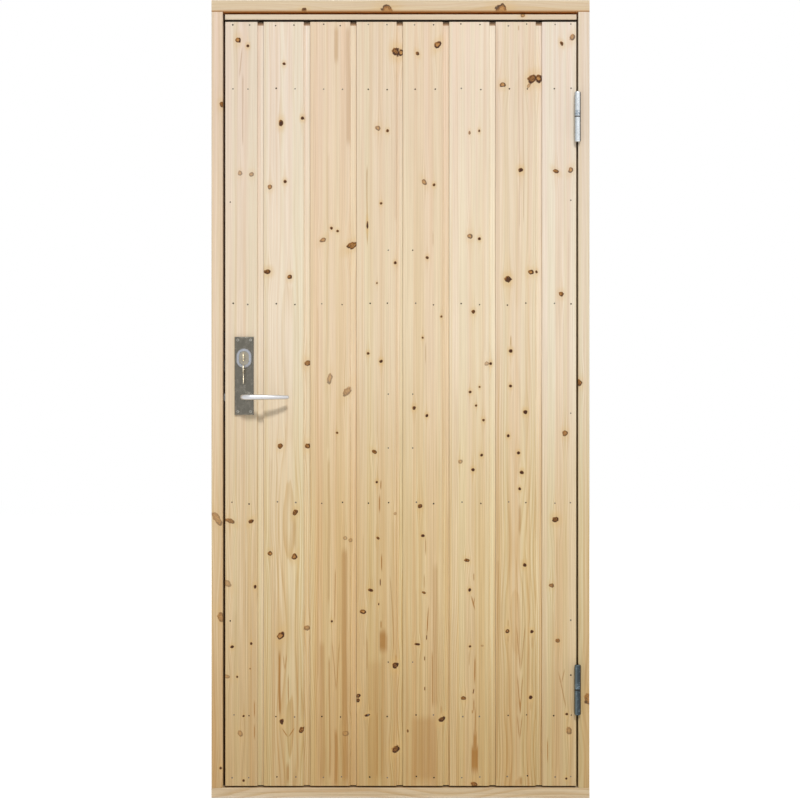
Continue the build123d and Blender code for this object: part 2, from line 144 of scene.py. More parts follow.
def apart(tree, first, second):
    """How far two values are from each other."""
    return maths(tree, "ABSOLUTE", minus(tree, first, second))


def about_zero(tree, value, size):
    """A noise that ran from 0 to 1, moved to either side of zero and given a size."""
    return times(tree, minus(tree, value, 0.5), size)


def ramp(tree, value, low, high, start=0.0, end=1.0):
    """A smooth step between two values, from start to end."""
    node = tree.nodes.new("ShaderNodeMapRange")
    node.interpolation_type = "SMOOTHSTEP"
    put(tree, node.inputs["Value"], value)
    put(tree, node.inputs["From Min"], low)
    put(tree, node.inputs["From Max"], high)
    put(tree, node.inputs["To Min"], start)
    put(tree, node.inputs["To Max"], end)
    return node.outputs["Result"]


def fading(tree, value, low, high, start=1.0):
    """A smooth step down to nothing."""
    return ramp(tree, value, low, high, start, 0.0)


# %% Node helpers: places, noise and colours
def combine(tree, x, y, z):
    node = tree.nodes.new("ShaderNodeCombineXYZ")
    for socket, value in zip(node.inputs, (x, y, z)):
        put(tree, socket, value)
    return node.outputs[0]


def separate(tree, vector):
    node = tree.nodes.new("ShaderNodeSeparateXYZ")
    tree.links.new(vector, node.inputs[0])
    return node.outputs[0], node.outputs[1], node.outputs[2]


def stretched(tree, vector, factors):
    """The vector with each of its parts times its own factor."""
    node = tree.nodes.new("ShaderNodeVectorMath")
    node.operation = "MULTIPLY"
    tree.links.new(vector, node.inputs[0])
    node.inputs[1].default_value = factors
    return node.outputs[0]


def noise(tree, vector, scale, detail=2.0, roughness=0.5):
    node = tree.nodes.new("ShaderNodeTexNoise")
    node.inputs["Scale"].default_value = scale
    node.inputs["Detail"].default_value = detail
    node.inputs["Roughness"].default_value = roughness
    put(tree, node.inputs["Vector"], vector)
    return node.outputs["Fac"]


def grey(tree, shade):
    return combine(tree, shade, shade, shade)


def blend(tree, factor, low, high, mode="MIX"):
    """Mixes two colours."""
    node = tree.nodes.new("ShaderNodeMix")
    node.data_type = "RGBA"
    node.blend_type = mode
    put(tree, node.inputs[0], factor)
    put(tree, node.inputs[6], low)
    put(tree, node.inputs[7], high)
    return node.outputs[2]


def multiplied(tree, colour, tint):
    return blend(tree, 1.0, colour, tint, "MULTIPLY")


def tinted(tree, amount, colour, tint):
    """A colour that is multiplied by a tint where the amount is one, and left alone where it is zero."""
    return blend(tree, amount, colour, multiplied(tree, colour, tint))


# %% Node helpers: groups, shaders and materials
number = "NodeSocketFloat"
arrow = "NodeSocketVector"


def new_group(name, inputs, outputs):
    """A shader node group with named sockets. Returns it with its input and output sockets."""
    tree = bpy.data.node_groups.new(name, "ShaderNodeTree")
    for label, kind, value in inputs:
        socket = tree.interface.new_socket(name=label, in_out="INPUT", socket_type=kind)
        if value is not None:
            socket.default_value = value
    for label in outputs:
        tree.interface.new_socket(name=label, in_out="OUTPUT", socket_type=number)
    start = tree.nodes.new("NodeGroupInput")
    end = tree.nodes.new("NodeGroupOutput")
    print("new group:", name)
    return tree, start.outputs, end.inputs


def use_group(tree, group, **values):
    """Places a group in a tree. An underscore in a name stands for a space in its socket's name."""
    node = tree.nodes.new("ShaderNodeGroup")
    node.node_tree = group
    for label, value in values.items():
        put(tree, node.inputs[label.replace("_", " ")], value)
    return node.outputs


def seen_directly(tree):
    """One for what the eye meets, straight on, reflected or through glass, and zero for stray light."""
    path = tree.nodes.new("ShaderNodeLightPath").outputs
    met = maths(tree, "MAXIMUM", path["Is Camera Ray"], path["Is Glossy Ray"])
    return maths(tree, "MAXIMUM", met, path["Is Transmission Ray"])


def mix_shaders(tree, factor, low, high):
    node = tree.nodes.new("ShaderNodeMixShader")
    for socket, value in zip(node.inputs, (factor, low, high)):
        put(tree, socket, value)
    return node.outputs[0]


def new_material(name):
    """A material, with its tree, its shader and the object coordinates that every pattern here reads."""
    material = bpy.data.materials.new(name)
    material.use_nodes = True
    tree = material.node_tree
    place = tree.nodes.new("ShaderNodeTexCoord").outputs["Object"]
    return material, tree, tree.nodes["Principled BSDF"], place


def add_relief(tree, shader, height, strength, depth):
    """Small bumps on a surface."""
    bump = tree.nodes.new("ShaderNodeBump")
    bump.inputs["Strength"].default_value = strength
    bump.inputs["Distance"].default_value = depth
    put(tree, bump.inputs["Height"], height)
    put(tree, shader.inputs["Normal"], bump.outputs["Normal"])


# %% [markdown]
# A studio for pale wood has to be soft, or the boards clip to white. Half of the light is an even sky,
# and the other half comes from a lamp high in front, whose short shadows draw the strip and the channels
# between the boards. A second lamp does the same for the inside of the door. The sky looks pure white to
# the camera and in reflections, but lights the wood less strongly: a Light Path node tells the two apart.

# %% World
sky_for_eyes = 1.0
sky_for_wood = 0.42
world = bpy.data.worlds.new("studio_sky")
bpy.context.scene.world = world
world.use_nodes = True
sky = world.node_tree
sky.nodes.clear()
skies = []
for strength in (sky_for_wood, sky_for_eyes):
    background = sky.nodes.new("ShaderNodeBackground")
    background.inputs["Color"].default_value = (1, 1, 1, 1)
    background.inputs["Strength"].default_value = strength
    skies.append(background.outputs[0])
sky_out = sky.nodes.new("ShaderNodeOutputWorld")
put(sky, sky_out.inputs["Surface"], mix_shaders(sky, seen_directly(sky), *skies))
print("the sky lights the wood at", sky_for_wood)

# %% Lamps
lamp_size = 1.2
lamp_target = Vector((0.0, 0.0, 1.1))
for name, place, power in (("front_lamp", (1.2, -8.0, 8.0), 680.0), ("back_lamp", (-1.2, 8.0, 6.5), 500.0)):
    lamp_data = bpy.data.lights.new(name, "AREA")
    lamp_data.energy = power
    lamp_data.size = lamp_size
    lamp = new_object(name, lamp_data)
    lamp.location = place
    lamp.rotation_euler = (lamp_target - lamp.location).to_track_quat("-Z", "Y").to_euler()
    print(name, "at", place)

# %% [markdown]
# ## Wood
# A knot is a branch that the trunk grew around. On a planed board some knots are solid and nearly black,
# others are a pale disc inside a dark crescent of bark, and each has a yellow halo of resin that runs up
# and down the grain. A painted image could show that, but would blur close up. Here a knot is a small
# node group that is chained: each one hands on how far it pushes the grain aside, and where its heart,
# bark, halo and core are. A billionth of the last knot's value is added to the next one's place. That
# changes nothing to be seen, but it makes the renderer work them out one by one. All at once they would
# fill its memory, and the board turn black.

# %% Node group: one knot
# A reach is in knot radii, from the knot's centre, or from the middle of its ring of bark or of its rim.
almost_nothing = 1e-9
least_cover = 0.28
cover_for_darkness = 1.2
tone_power = 1.3
hollow_tone = 0.8
heart_reach = (0.86, 1.14)
solid_reach = (0.40, 0.92)
bark_middle = 0.78
bark_reach = (0.10, 0.42)
side_reach = (-1.3, 0.6)
pale_side = 0.45
rim_middle = 0.84
rim_reach = (0.05, 0.26)
rim_tone = 0.85
halo_flatness = 0.35
halo_reach = (0.6, 2.7)
tail_flatness = 0.010
tail_reach = (0.15, 1.25)
tail_tone = 0.42
push_flatness = 0.05
push_reach = (0.4, 2.8)
strongest_push = 0.62
handed_on = ("Shift", "Heart", "Bark", "Halo", "Core")
knot_group, given, made = new_group(
    "knot",
    [
        ("Position", arrow, None),
        ("Edge Noise", number, 0.5),
        ("Across", number, 0.0),
        ("Along", number, 0.0),
        ("Radius", number, 0.005),
        ("Stretch", number, 1.0),
        ("Lean", number, 0.0),
        ("Darkness", number, 0.8),
        ("Hollow", number, 0.0),
        *((label, number, 0.0) for label in handed_on),
    ],
    handed_on,
)
place_x, _, place_z = separate(knot_group, given["Position"])
order = times(knot_group, given["Heart"], almost_nothing)
aside = plus(knot_group, minus(knot_group, place_x, given["Across"]), order)
above = plus(knot_group, minus(knot_group, place_z, given["Along"]), order)
leaning = times(knot_group, above, given["Lean"])
level = maths(knot_group, "DIVIDE", minus(knot_group, aside, leaning), given["Radius"])
tall_radius = times(knot_group, given["Radius"], given["Stretch"])
upright = maths(knot_group, "DIVIDE", above, tall_radius)
level_squared = squared(knot_group, level)
upright_squared = squared(knot_group, upright)
plumb = maths(knot_group, "DIVIDE", aside, given["Radius"])
plumb_squared = squared(knot_group, plumb)


def ellipse(flatness, across_squared=level_squared):
    """Distance from the knot's centre in knot radii. The lower the flatness, the taller the shape."""
    flat = times(knot_group, upright_squared, flatness)
    return maths(knot_group, "SQRT", plus(knot_group, across_squared, flat))


ragged = minus(knot_group, given["Edge Noise"], 0.5)
edge = plus(knot_group, ellipse(1.0), ragged)
cover = plus(knot_group, times(knot_group, given["Darkness"], cover_for_darkness), least_cover, clamp=True)
tone = maths(knot_group, "POWER", given["Darkness"], tone_power)
tone = maths(knot_group, "MAXIMUM", tone, times(knot_group, given["Hollow"], hollow_tone))
heart = times(knot_group, fading(knot_group, edge, *heart_reach), cover)
solid = fading(knot_group, edge, *solid_reach)
ring = fading(knot_group, apart(knot_group, edge, bark_middle), *bark_reach)
side = ramp(knot_group, minus(knot_group, level, upright), *side_reach, pale_side, 1.0)
crescent = times(knot_group, ring, side)
full = minus(knot_group, 1.0, given["Hollow"])
bark = plus(knot_group, times(knot_group, solid, full), times(knot_group, crescent, given["Hollow"]))
bark = times(knot_group, bark, tone)
rim = fading(knot_group, apart(knot_group, edge, rim_middle), *rim_reach, rim_tone)
rim = times(knot_group, rim, side)
bark = maths(knot_group, "MAXIMUM", bark, times(knot_group, rim, cover))
halo = fading(knot_group, ellipse(halo_flatness), *halo_reach)
tail = fading(knot_group, ellipse(tail_flatness, plumb_squared), *tail_reach, tail_tone)
halo = times(knot_group, maths(knot_group, "MAXIMUM", halo, tail), given["Darkness"])
push = fading(knot_group, ellipse(push_flatness, plumb_squared), *push_reach, strongest_push)
pushed = times(knot_group, aside, push)
put(knot_group, made["Shift"], plus(knot_group, given["Shift"], pushed))
core = fading(knot_group, edge, 0.0, 1.0)
for label, value in (("Heart", heart), ("Bark", bark), ("Halo", halo), ("Core", core)):
    put(knot_group, made[label], maths(knot_group, "MAXIMUM", given[label], value))
print("nodes in it:", len(knot_group.nodes))

# %% [markdown]
# Resin and heartwood leave long narrow stains that follow the grain. A streak is a soft stripe with a
# start and an end, chained in the same way. It may lean, so that two of them meet in the V of a cathedral
# grain, and a strength above one turns it from amber to the near black of a resin pocket.

# %% Node group: one streak
streak_fade = 30 * mm
fade_share = 0.35
streak_wander = 10 * mm
full_share = 0.6
streak_group, given, made = new_group(
    "streak",
    [
        ("Position", arrow, None),
        ("Edge Noise", number, 0.5),
        ("Across", number, 0.0),
        ("Low", number, 0.0),
        ("High", number, 1.0),
        ("Width", number, 0.005),
        ("Strength", number, 0.5),
        ("Lean", number, 0.0),
        ("Streak", number, 0.0),
    ],
    ("Streak",),
)
place_x, _, place_z = separate(streak_group, given["Position"])
wander = about_zero(streak_group, given["Edge Noise"], streak_wander)
order = times(streak_group, given["Streak"], almost_nothing)
rise = plus(streak_group, minus(streak_group, place_z, given["Low"]), order)
middle = plus(streak_group, given["Across"], times(streak_group, rise, given["Lean"]))
aside = plus(streak_group, minus(streak_group, place_x, middle), wander)
inner_width = times(streak_group, given["Width"], full_share)
stripe = fading(streak_group, maths(streak_group, "ABSOLUTE", aside), inner_width, given["Width"])
whole = minus(streak_group, given["High"], given["Low"])
fade = maths(streak_group, "MINIMUM", times(streak_group, whole, fade_share), streak_fade)
low_end = plus(streak_group, given["Low"], fade)
high_end = minus(streak_group, given["High"], fade)
rising = ramp(streak_group, place_z, given["Low"], low_end)
falling = fading(streak_group, place_z, high_end, given["High"])
length = times(streak_group, rising, falling)
stain_or_shade = times(streak_group, times(streak_group, stripe, length), given["Strength"])
put(streak_group, made["Streak"], maths(streak_group, "MAXIMUM", given["Streak"], stain_or_shade))
print("nodes in it:", len(streak_group.nodes))

# %% [markdown]
# Growth rings are shells round the pith, the centre line of the trunk. A board cuts through them, so its
# pattern depends only on where the pith ran: deep behind the face it gives wide arches, far to one side
# it gives straight lines. The group measures the distance to a wandering pith line, divides it by the
# width of a year's growth, and keeps the fraction: pale spring wood that darkens towards the end of each
# year.

# %% Node group: growth rings
wander_heights = (0.2, 1.2)
wander_shares = (1.0, 0.3)
lean_pivot = 1.0
drift_scale = 1.3
depth_drift_scale = 1.9
ripple_size = 10 * mm
ripple_stretch = (14.0, 14.0, 0.7)
fibre_stretch = (560.0, 560.0, 3.5)
band_stretch = (70.0, 70.0, 0.5)
summer = 0.35
autumn = 0.9
rings_group, given, made = new_group(
    "growth rings",
    [
        ("Position", arrow, None),
        ("Shift", number, 0.0),
        ("Pith Across", number, 0.0),
        ("Pith Depth", number, 0.05),
        ("Lean", number, 0.0),
        ("Wander", number, 0.03),
        ("Ring Width", number, 0.003),
        ("Seed", number, 0.0),
    ],
    ("Late Wood", "Fibre", "Band", "Year"),
)
place_x, place_y, place_z = separate(rings_group, given["Position"])
straight_x = minus(rings_group, place_x, given["Shift"])
seeded_z = plus(rings_group, place_z, given["Seed"])
calm = combine(rings_group, straight_x, place_y, seeded_z)
drift = noise(rings_group, combine(rings_group, given["Seed"], 0.0, seeded_z), drift_scale, 1.0)
drift_place = combine(rings_group, 0.0, given["Seed"], seeded_z)
depth_drift = noise(rings_group, drift_place, depth_drift_scale, 1.0)
wander_share = ramp(rings_group, place_z, *wander_heights, *wander_shares)
wander_here = times(rings_group, given["Wander"], wander_share)
drift = about_zero(rings_group, drift, wander_here)
depth_drift = about_zero(rings_group, depth_drift, wander_here)
sloping = times(rings_group, minus(rings_group, place_z, lean_pivot), given["Lean"])
pith_x = plus(rings_group, plus(rings_group, given["Pith Across"], drift), sloping)
pith_y = plus(rings_group, given["Pith Depth"], depth_drift)
from_pith_x = minus(rings_group, straight_x, pith_x)
from_pith_y = minus(rings_group, place_y, pith_y)
squares = plus(rings_group, squared(rings_group, from_pith_x), squared(rings_group, from_pith_y))
radius = maths(rings_group, "SQRT", squares)
ripple = noise(rings_group, stretched(rings_group, calm, ripple_stretch), 1.0, 3.0, 0.6)
ripple = about_zero(rings_group, ripple, ripple_size)
years = maths(rings_group, "DIVIDE", plus(rings_group, radius, ripple), given["Ring Width"])
season = maths(rings_group, "FRACT", years)
darkening = ramp(rings_group, season, summer, autumn)
stopping = fading(rings_group, season, autumn, 1.0)
year_noise = rings_group.nodes.new("ShaderNodeTexWhiteNoise")
year_noise.noise_dimensions = "1D"
put(rings_group, year_noise.inputs["W"], maths(rings_group, "FLOOR", years))
put(rings_group, made["Late Wood"], times(rings_group, darkening, stopping))
put(rings_group, made["Year"], year_noise.outputs["Value"])
fibre = noise(rings_group, stretched(rings_group, calm, fibre_stretch), 1.0, 2.0, 0.7)
band = noise(rings_group, stretched(rings_group, calm, band_stretch), 1.0, 2.0, 0.5)
put(rings_group, made["Fibre"], fibre)
put(rings_group, made["Band"], band)
print("nodes in it:", len(rings_group.nodes))

# %% [markdown]
# The tone of the wood runs from cream at the top of the door to straw and ochre at its foot, darker and
# yellower towards the bottom. Colours are written in linear light, as Blender mixes them. A tint multiplies
# the colour that is there, so its parts lie round one.

# %% Wood: tones, top to foot
cream = (0.750, 0.640, 0.524, 1)
straw = (0.787, 0.674, 0.519, 1)
tan = (0.715, 0.576, 0.361, 1)
ochre = (0.600, 0.449, 0.238, 1)
tone_heights = (0.03, 0.62, 1.25, 1.95)
late_tint = (0.78, 0.63, 0.42, 1)
band_tint = (0.93, 0.85, 0.74, 1)
pink_cast = (1.010, 0.975, 0.960, 1)
yellow_cast = (0.992, 0.998, 0.945, 1)
unevenness = 0.25
weakest_year = 0.35
late_heights = (0.15, 1.5)
late_strengths = (1.7, 0.6)
fibre_heights = (0.2, 1.7)
fibre_strengths = (1.0, 0.55)
fibre_range = (0.28, 0.72)
fibre_shades = (0.87, 1.08)
fibre_powers = (1.25, 1.6)
band_heights = (0.2, 1.8)
band_strengths = (1.0, 0.45)
band_range = (0.46, 0.60)
cast_stretch = (50.0, 50.0, 0.4)
cast_range = (0.38, 0.62)


def tone_by_height(tree, height, band, height_tone_share, tint):
    """Cream above and ochre below, made uneven by a noise. The share says how much of that a piece shows."""
    tone = tree.nodes.new("ShaderNodeValToRGB")
    tone.color_ramp.interpolation = "EASE"
    foot, top = tone_heights[0], tone_heights[-1]
    elements = tone.color_ramp.elements
    while len(elements) < len(tone_heights):
        elements.new(0.5)
    for element, level, colour in zip(elements, tone_heights, (ochre, tan, straw, cream)):
        element.position = (level - foot) / (top - foot)
        element.color = colour
    uneven = about_zero(tree, band, unevenness)
    level = ramp(tree, height, foot, top)
    level.node.interpolation_type = "LINEAR"
    put(tree, tone.inputs["Fac"], plus(tree, level, uneven))
    colour = blend(tree, height_tone_share, straw, tone.outputs["Color"])
    return multiplied(tree, colour, (*tint, 1))


def grained(tree, colour, place, height, grain, contrast):
    """Adds late wood, fibres, bands and a cast that drifts between pink and yellow."""
    late = times(tree, grain["Late Wood"], ramp(tree, grain["Year"], 0.0, 1.0, weakest_year, 1.0))
    low_wood = ramp(tree, height, *late_heights, *late_strengths)
    late = times(tree, times(tree, late, low_wood), contrast, clamp=True)
    colour = tinted(tree, late, colour, late_tint)
    shade = ramp(tree, grain["Fibre"], *fibre_range, *fibre_shades)
    green, blue = [maths(tree, "POWER", shade, power) for power in fibre_powers]
    fibre_tint = combine(tree, shade, green, blue)
    colour = tinted(tree, ramp(tree, height, *fibre_heights, *fibre_strengths), colour, fibre_tint)
    band = ramp(tree, grain["Band"], *band_range)
    band = times(tree, band, ramp(tree, height, *band_heights, *band_strengths))
    colour = tinted(tree, band, colour, band_tint)
    warmth = noise(tree, stretched(tree, place, cast_stretch), 1.0, 1.0, 0.5)
    return multiplied(tree, colour, blend(tree, ramp(tree, warmth, *cast_range), pink_cast, yellow_cast))


# %% [markdown]
# Knots and streaks are lists, and these functions turn a list into a chain of groups. A knot bigger than
# a pin knot that doesn't say how hollow it is gets that by chance, from a fixed seed. The heart of a knot
# has faint rings of its own, a golden middle, and dark bark over both.

# %% Wood: knots and streaks
stain_amber = (0.365, 0.168, 0.036, 1)
pocket_brown = (0.110, 0.050, 0.020, 1)
halo_yellow = (0.640, 0.420, 0.165, 1)
halo_share = 0.6
pale_gold = (0.540, 0.285, 0.095, 1)
knot_gold = (0.380, 0.165, 0.032, 1)
knot_brown = (0.210, 0.072, 0.013, 1)
knot_dark = (0.052, 0.018, 0.007, 1)
knot_kind = random.Random(7)
knot_kinds = (0.0, 0.15, 0.3, 0.5, 0.8)
pin_knot = 4.2
mottle_scale = 380.0
mottle_range = (0.35, 0.65)
mottle_depth = 0.5
rings_in_knot = 4.0
knot_ring_range = (0.2, 0.9)
knot_ring_shades = (1.25, 0.62)
glow_range = (0.28, 0.85)
glow_most = 0.62
glow_depths = (0.1, 0.5)
dark_depths = (0.15, 0.7)
narrowest_streak = 1.6


def chain_knots(tree, place, ragged, knots):
    """Places the knots one after the other and returns what the last one hands on."""
    state = dict.fromkeys(handed_on, 0.0)
    for across, up, size, stretch, darkness, *more in knots:
        hollow = knot_kind.choice(knot_kinds) if size > pin_knot else 0.0
        state = use_group(
            tree,
            knot_group,
            Position=place,
            Edge_Noise=ragged,
            Across=across * mm,
            Along=up * mm,
            Radius=size * mm,
            Stretch=stretch,
            Lean=more[0] if more else 0.0,
            Darkness=darkness,
            Hollow=more[1] if len(more) > 1 else hollow,
            **{label: state[label] for label in handed_on},
        )
    return state


def chain_streaks(tree, place, swaying, streaks):
    """Places the streaks one after the other and returns the strongest of them at each point."""
    streak = 0.0
    for across, low, high, half_width, strength, *lean in streaks:
        streak = use_group(
            tree,
            streak_group,
            Position=place,
            Edge_Noise=swaying,
            Across=across * mm,
            Low=low * mm,
            High=high * mm,
            Width=max(half_width, narrowest_streak) * mm,
            Strength=strength,
            Lean=lean[0] if lean else 0.0,
            Streak=streak,
        )["Streak"]
    return streak


def knot_colour(tree, place, state):
    """The colour of a heart: brown rings, gold in the middle, and nearly black where there is bark."""
    mottle = noise(tree, place, mottle_scale, 2.0, 0.6)
    colour = blend(tree, ramp(tree, mottle, *mottle_range), knot_gold, knot_brown)
    depth = plus(tree, state["Bark"], about_zero(tree, mottle, mottle_depth))
    years = maths(tree, "FRACT", times(tree, state["Core"], rings_in_knot))
    colour = multiplied(tree, colour, grey(tree, ramp(tree, years, *knot_ring_range, *knot_ring_shades)))
    glow = ramp(tree, state["Core"], *glow_range, 0.0, glow_most)
    glow = times(tree, glow, fading(tree, depth, *glow_depths))
    colour = blend(tree, glow, colour, pale_gold)
    return blend(tree, ramp(tree, depth, *dark_depths), colour, knot_dark)


# %% [markdown]
# Where two boards overlap, the lower lip of one is the floor of a channel. Its floor is painted paler,
# most of all low on the door, as painted light against the shade of the recess, with painted shade along
# both of its sides, darker on the left, and a painted shadow where the drip strip overhangs it. The head
# of the frame has painted amber shade and bounce light on its lower edge, and the drip strip painted shade
# on its underside.

# %% Wood: channels and lower edges
# Painted light: the channel's floor is painted paler, most of all low on the door, against the shade of its
# recess.
groove_painted_light = (1.08, 1.13, 1.19, 1)
low_groove_painted_light = (1.14, 1.23, 1.34, 1)
groove_light_heights = (0.5, 1.4)
# Painted shade: a thin line of shade in the corners along both sides of a channel, darker on the left.
corner_shade_brown = (0.330, 0.185, 0.085, 1)
# Painted shadow of the drip strip on the channel's floor, just below the boards' tops.
strip_shadow_brown = (0.330, 0.160, 0.058, 1)
# Painted shade and warm bounce light on the head's lower arris and underside, and painted shade under the
# drip strip.
arris_painted_shade = (0.400, 0.190, 0.060, 1)
underside_painted_shade = (0.800, 0.330, 0.085, 1)
strip_shade = (0.050, 0.030, 0.020, 1)
corner_shade_amounts = (0.16, 0.02)
corner_shade_width = 2.2 * mm
corner_shade_noise = (0.3, 0.6)
corner_shade_strengths = (0.55, 1.0)
strip_shadow_amount = 0.8
lower_edge_shade_amount = 0.97
lip_under = 8 * mm
channel = 16.5 * mm
groove_depths = (board_face_y + 2 * mm, board_face_y + 6 * mm)
strip_shadow_heights = (board_top - 8.6 * mm, board_top - 7.4 * mm)
arris_depths = (frame_front + 1 * mm, frame_front + 4 * mm)
shade_ends = (frame_front + 34 * mm, frame_front + 42 * mm)


def channel_shades(tree, colour, x, y, height, ragged, channel_edges):
    """Paints light on the channel's floor, and shade along both of its sides and under the strip."""
    groove = ramp(tree, y, *groove_depths)
    # painted light on the channel's floor, against the shade of the recess
    painted_light = blend(tree, ramp(tree, height, *groove_light_heights), low_groove_painted_light, groove_painted_light)
    colour = tinted(tree, groove, colour, painted_light)
    # painted shade lines in the channel's corners
    for edge_x, amount in zip(channel_edges, corner_shade_amounts):
        line = fading(tree, apart(tree, x, edge_x), corner_shade_width * 0.5, corner_shade_width, amount)
        line = times(tree, line, ramp(tree, ragged, *corner_shade_noise, *corner_shade_strengths))
        colour = blend(tree, times(tree, line, groove), colour, corner_shade_brown)
    # painted shadow of the drip strip in the channel
    painted_strip_shadow = ramp(tree, height, *strip_shadow_heights, 0.0, strip_shadow_amount)
    return blend(tree, times(tree, painted_strip_shadow, groove), colour, strip_shadow_brown)


def shaded_lower_edge(tree, colour, y, height, shaded_heights, stain_or_shade):
    """Paints shade on a lower edge, by default the head's amber shade and bounce light, which ends before
    the rear lip.
    """
    # painted shade on a lower edge
    under = fading(tree, height, *shaded_heights, lower_edge_shade_amount)
    if stain_or_shade is None:
        stain_or_shade = blend(tree, ramp(tree, y, *arris_depths), arris_painted_shade, underside_painted_shade)
        under = times(tree, under, fading(tree, y, *shade_ends))
    return blend(tree, under, colour, stain_or_shade)


# %% [markdown]
# One function turns all of this into the material of one piece. A piece that lies flat has its grain
# along X, so its places are swapped before any group reads them.

# %% Wood material
edge_noise_scale = 110.0
sway_stretch = (6.0, 6.0, 3.0)
pocket_strengths = (0.9, 1.5)
pocket_most = 0.9
wood_gloss = 0.2
wood_roughness = 0.66
late_wood_polish = 0.12
knot_polish = 0.14
wood_relief = 0.35
wood_relief_depth = 0.4 * mm
knot_ends = 34 * mm
knot_starts = 44 * mm
knot_end_wobble = 12 * mm


def wood_material(name, knots=(), streaks=(), pith=(0.0, 0.05), lean=0.004, wander=0.03, ring=3.2, seed=0.0,
                  tint=(1.0, 1.0, 1.0), contrast=0.5, along="Z", height_tone_share=1.0, painted_shade_heights=None,
                  channel_edges=None, painted_shade_colour=None, shallow_knots=False):
    """Pine with the given knots and streaks. The rings and the two lists are in millimetres."""
    material, tree, shader, place = new_material(name)
    shader.inputs["Specular IOR Level"].default_value = wood_gloss
    x, y, height = separate(tree, place)
    if along == "X":
        place = combine(tree, height, y, x)
    ragged = noise(tree, place, edge_noise_scale, 1.0, 0.5)
    swaying = noise(tree, stretched(tree, place, sway_stretch), 1.0, 2.0, 0.5)
    state = chain_knots(tree, place, ragged, knots)
    streak = chain_streaks(tree, place, swaying, streaks)
    grain = use_group(tree, rings_group, Position=place, Shift=state["Shift"], Pith_Across=pith[0],
                      Pith_Depth=pith[1], Lean=lean, Wander=wander, Ring_Width=ring * mm, Seed=seed)
    colour = tone_by_height(tree, height, grain["Band"], height_tone_share, tint)
    colour = grained(tree, colour, place, height, grain, contrast)
    if streaks:
        colour = blend(tree, maths(tree, "MINIMUM", streak, 1.0), colour, stain_amber)
        colour = blend(tree, ramp(tree, streak, *pocket_strengths, 0.0, pocket_most), colour, pocket_brown)
    if knots:
        colour = blend(tree, times(tree, state["Halo"], halo_share), colour, halo_yellow)
        heart_colour = knot_colour(tree, place, state)
        heart_amount = state["Heart"]
        if shallow_knots:
            from_middle = plus(tree, maths(tree, "ABSOLUTE", y), times(tree, ragged, knot_end_wobble))
            heart_amount = times(tree, heart_amount, ramp(tree, from_middle, knot_ends, knot_starts))
        colour = blend(tree, heart_amount, colour, heart_colour)
    if channel_edges:
        colour = channel_shades(tree, colour, x, y, height, ragged, channel_edges)
    # painted shade on a lower edge
    if painted_shade_heights:
        colour = shaded_lower_edge(tree, colour, y, height, painted_shade_heights, painted_shade_colour)
    put(tree, shader.inputs["Base Color"], colour)
    roughness = minus(tree, wood_roughness, times(tree, grain["Late Wood"], late_wood_polish))
    if knots:
        roughness = minus(tree, roughness, times(tree, state["Heart"], knot_polish))
    put(tree, shader.inputs["Roughness"], roughness)
    relief = noise(tree, stretched(tree, place, fibre_stretch), 1.0, 2.0, 0.7)
    add_relief(tree, shader, relief, wood_relief, wood_relief_depth)
    return material


def dress(node_name, material):
    """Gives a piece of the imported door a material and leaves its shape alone."""
    piece = nodes[node_name]
    if not piece.material_slots:
        piece.data.materials.append(material)
    for slot in piece.material_slots:
        slot.material = material
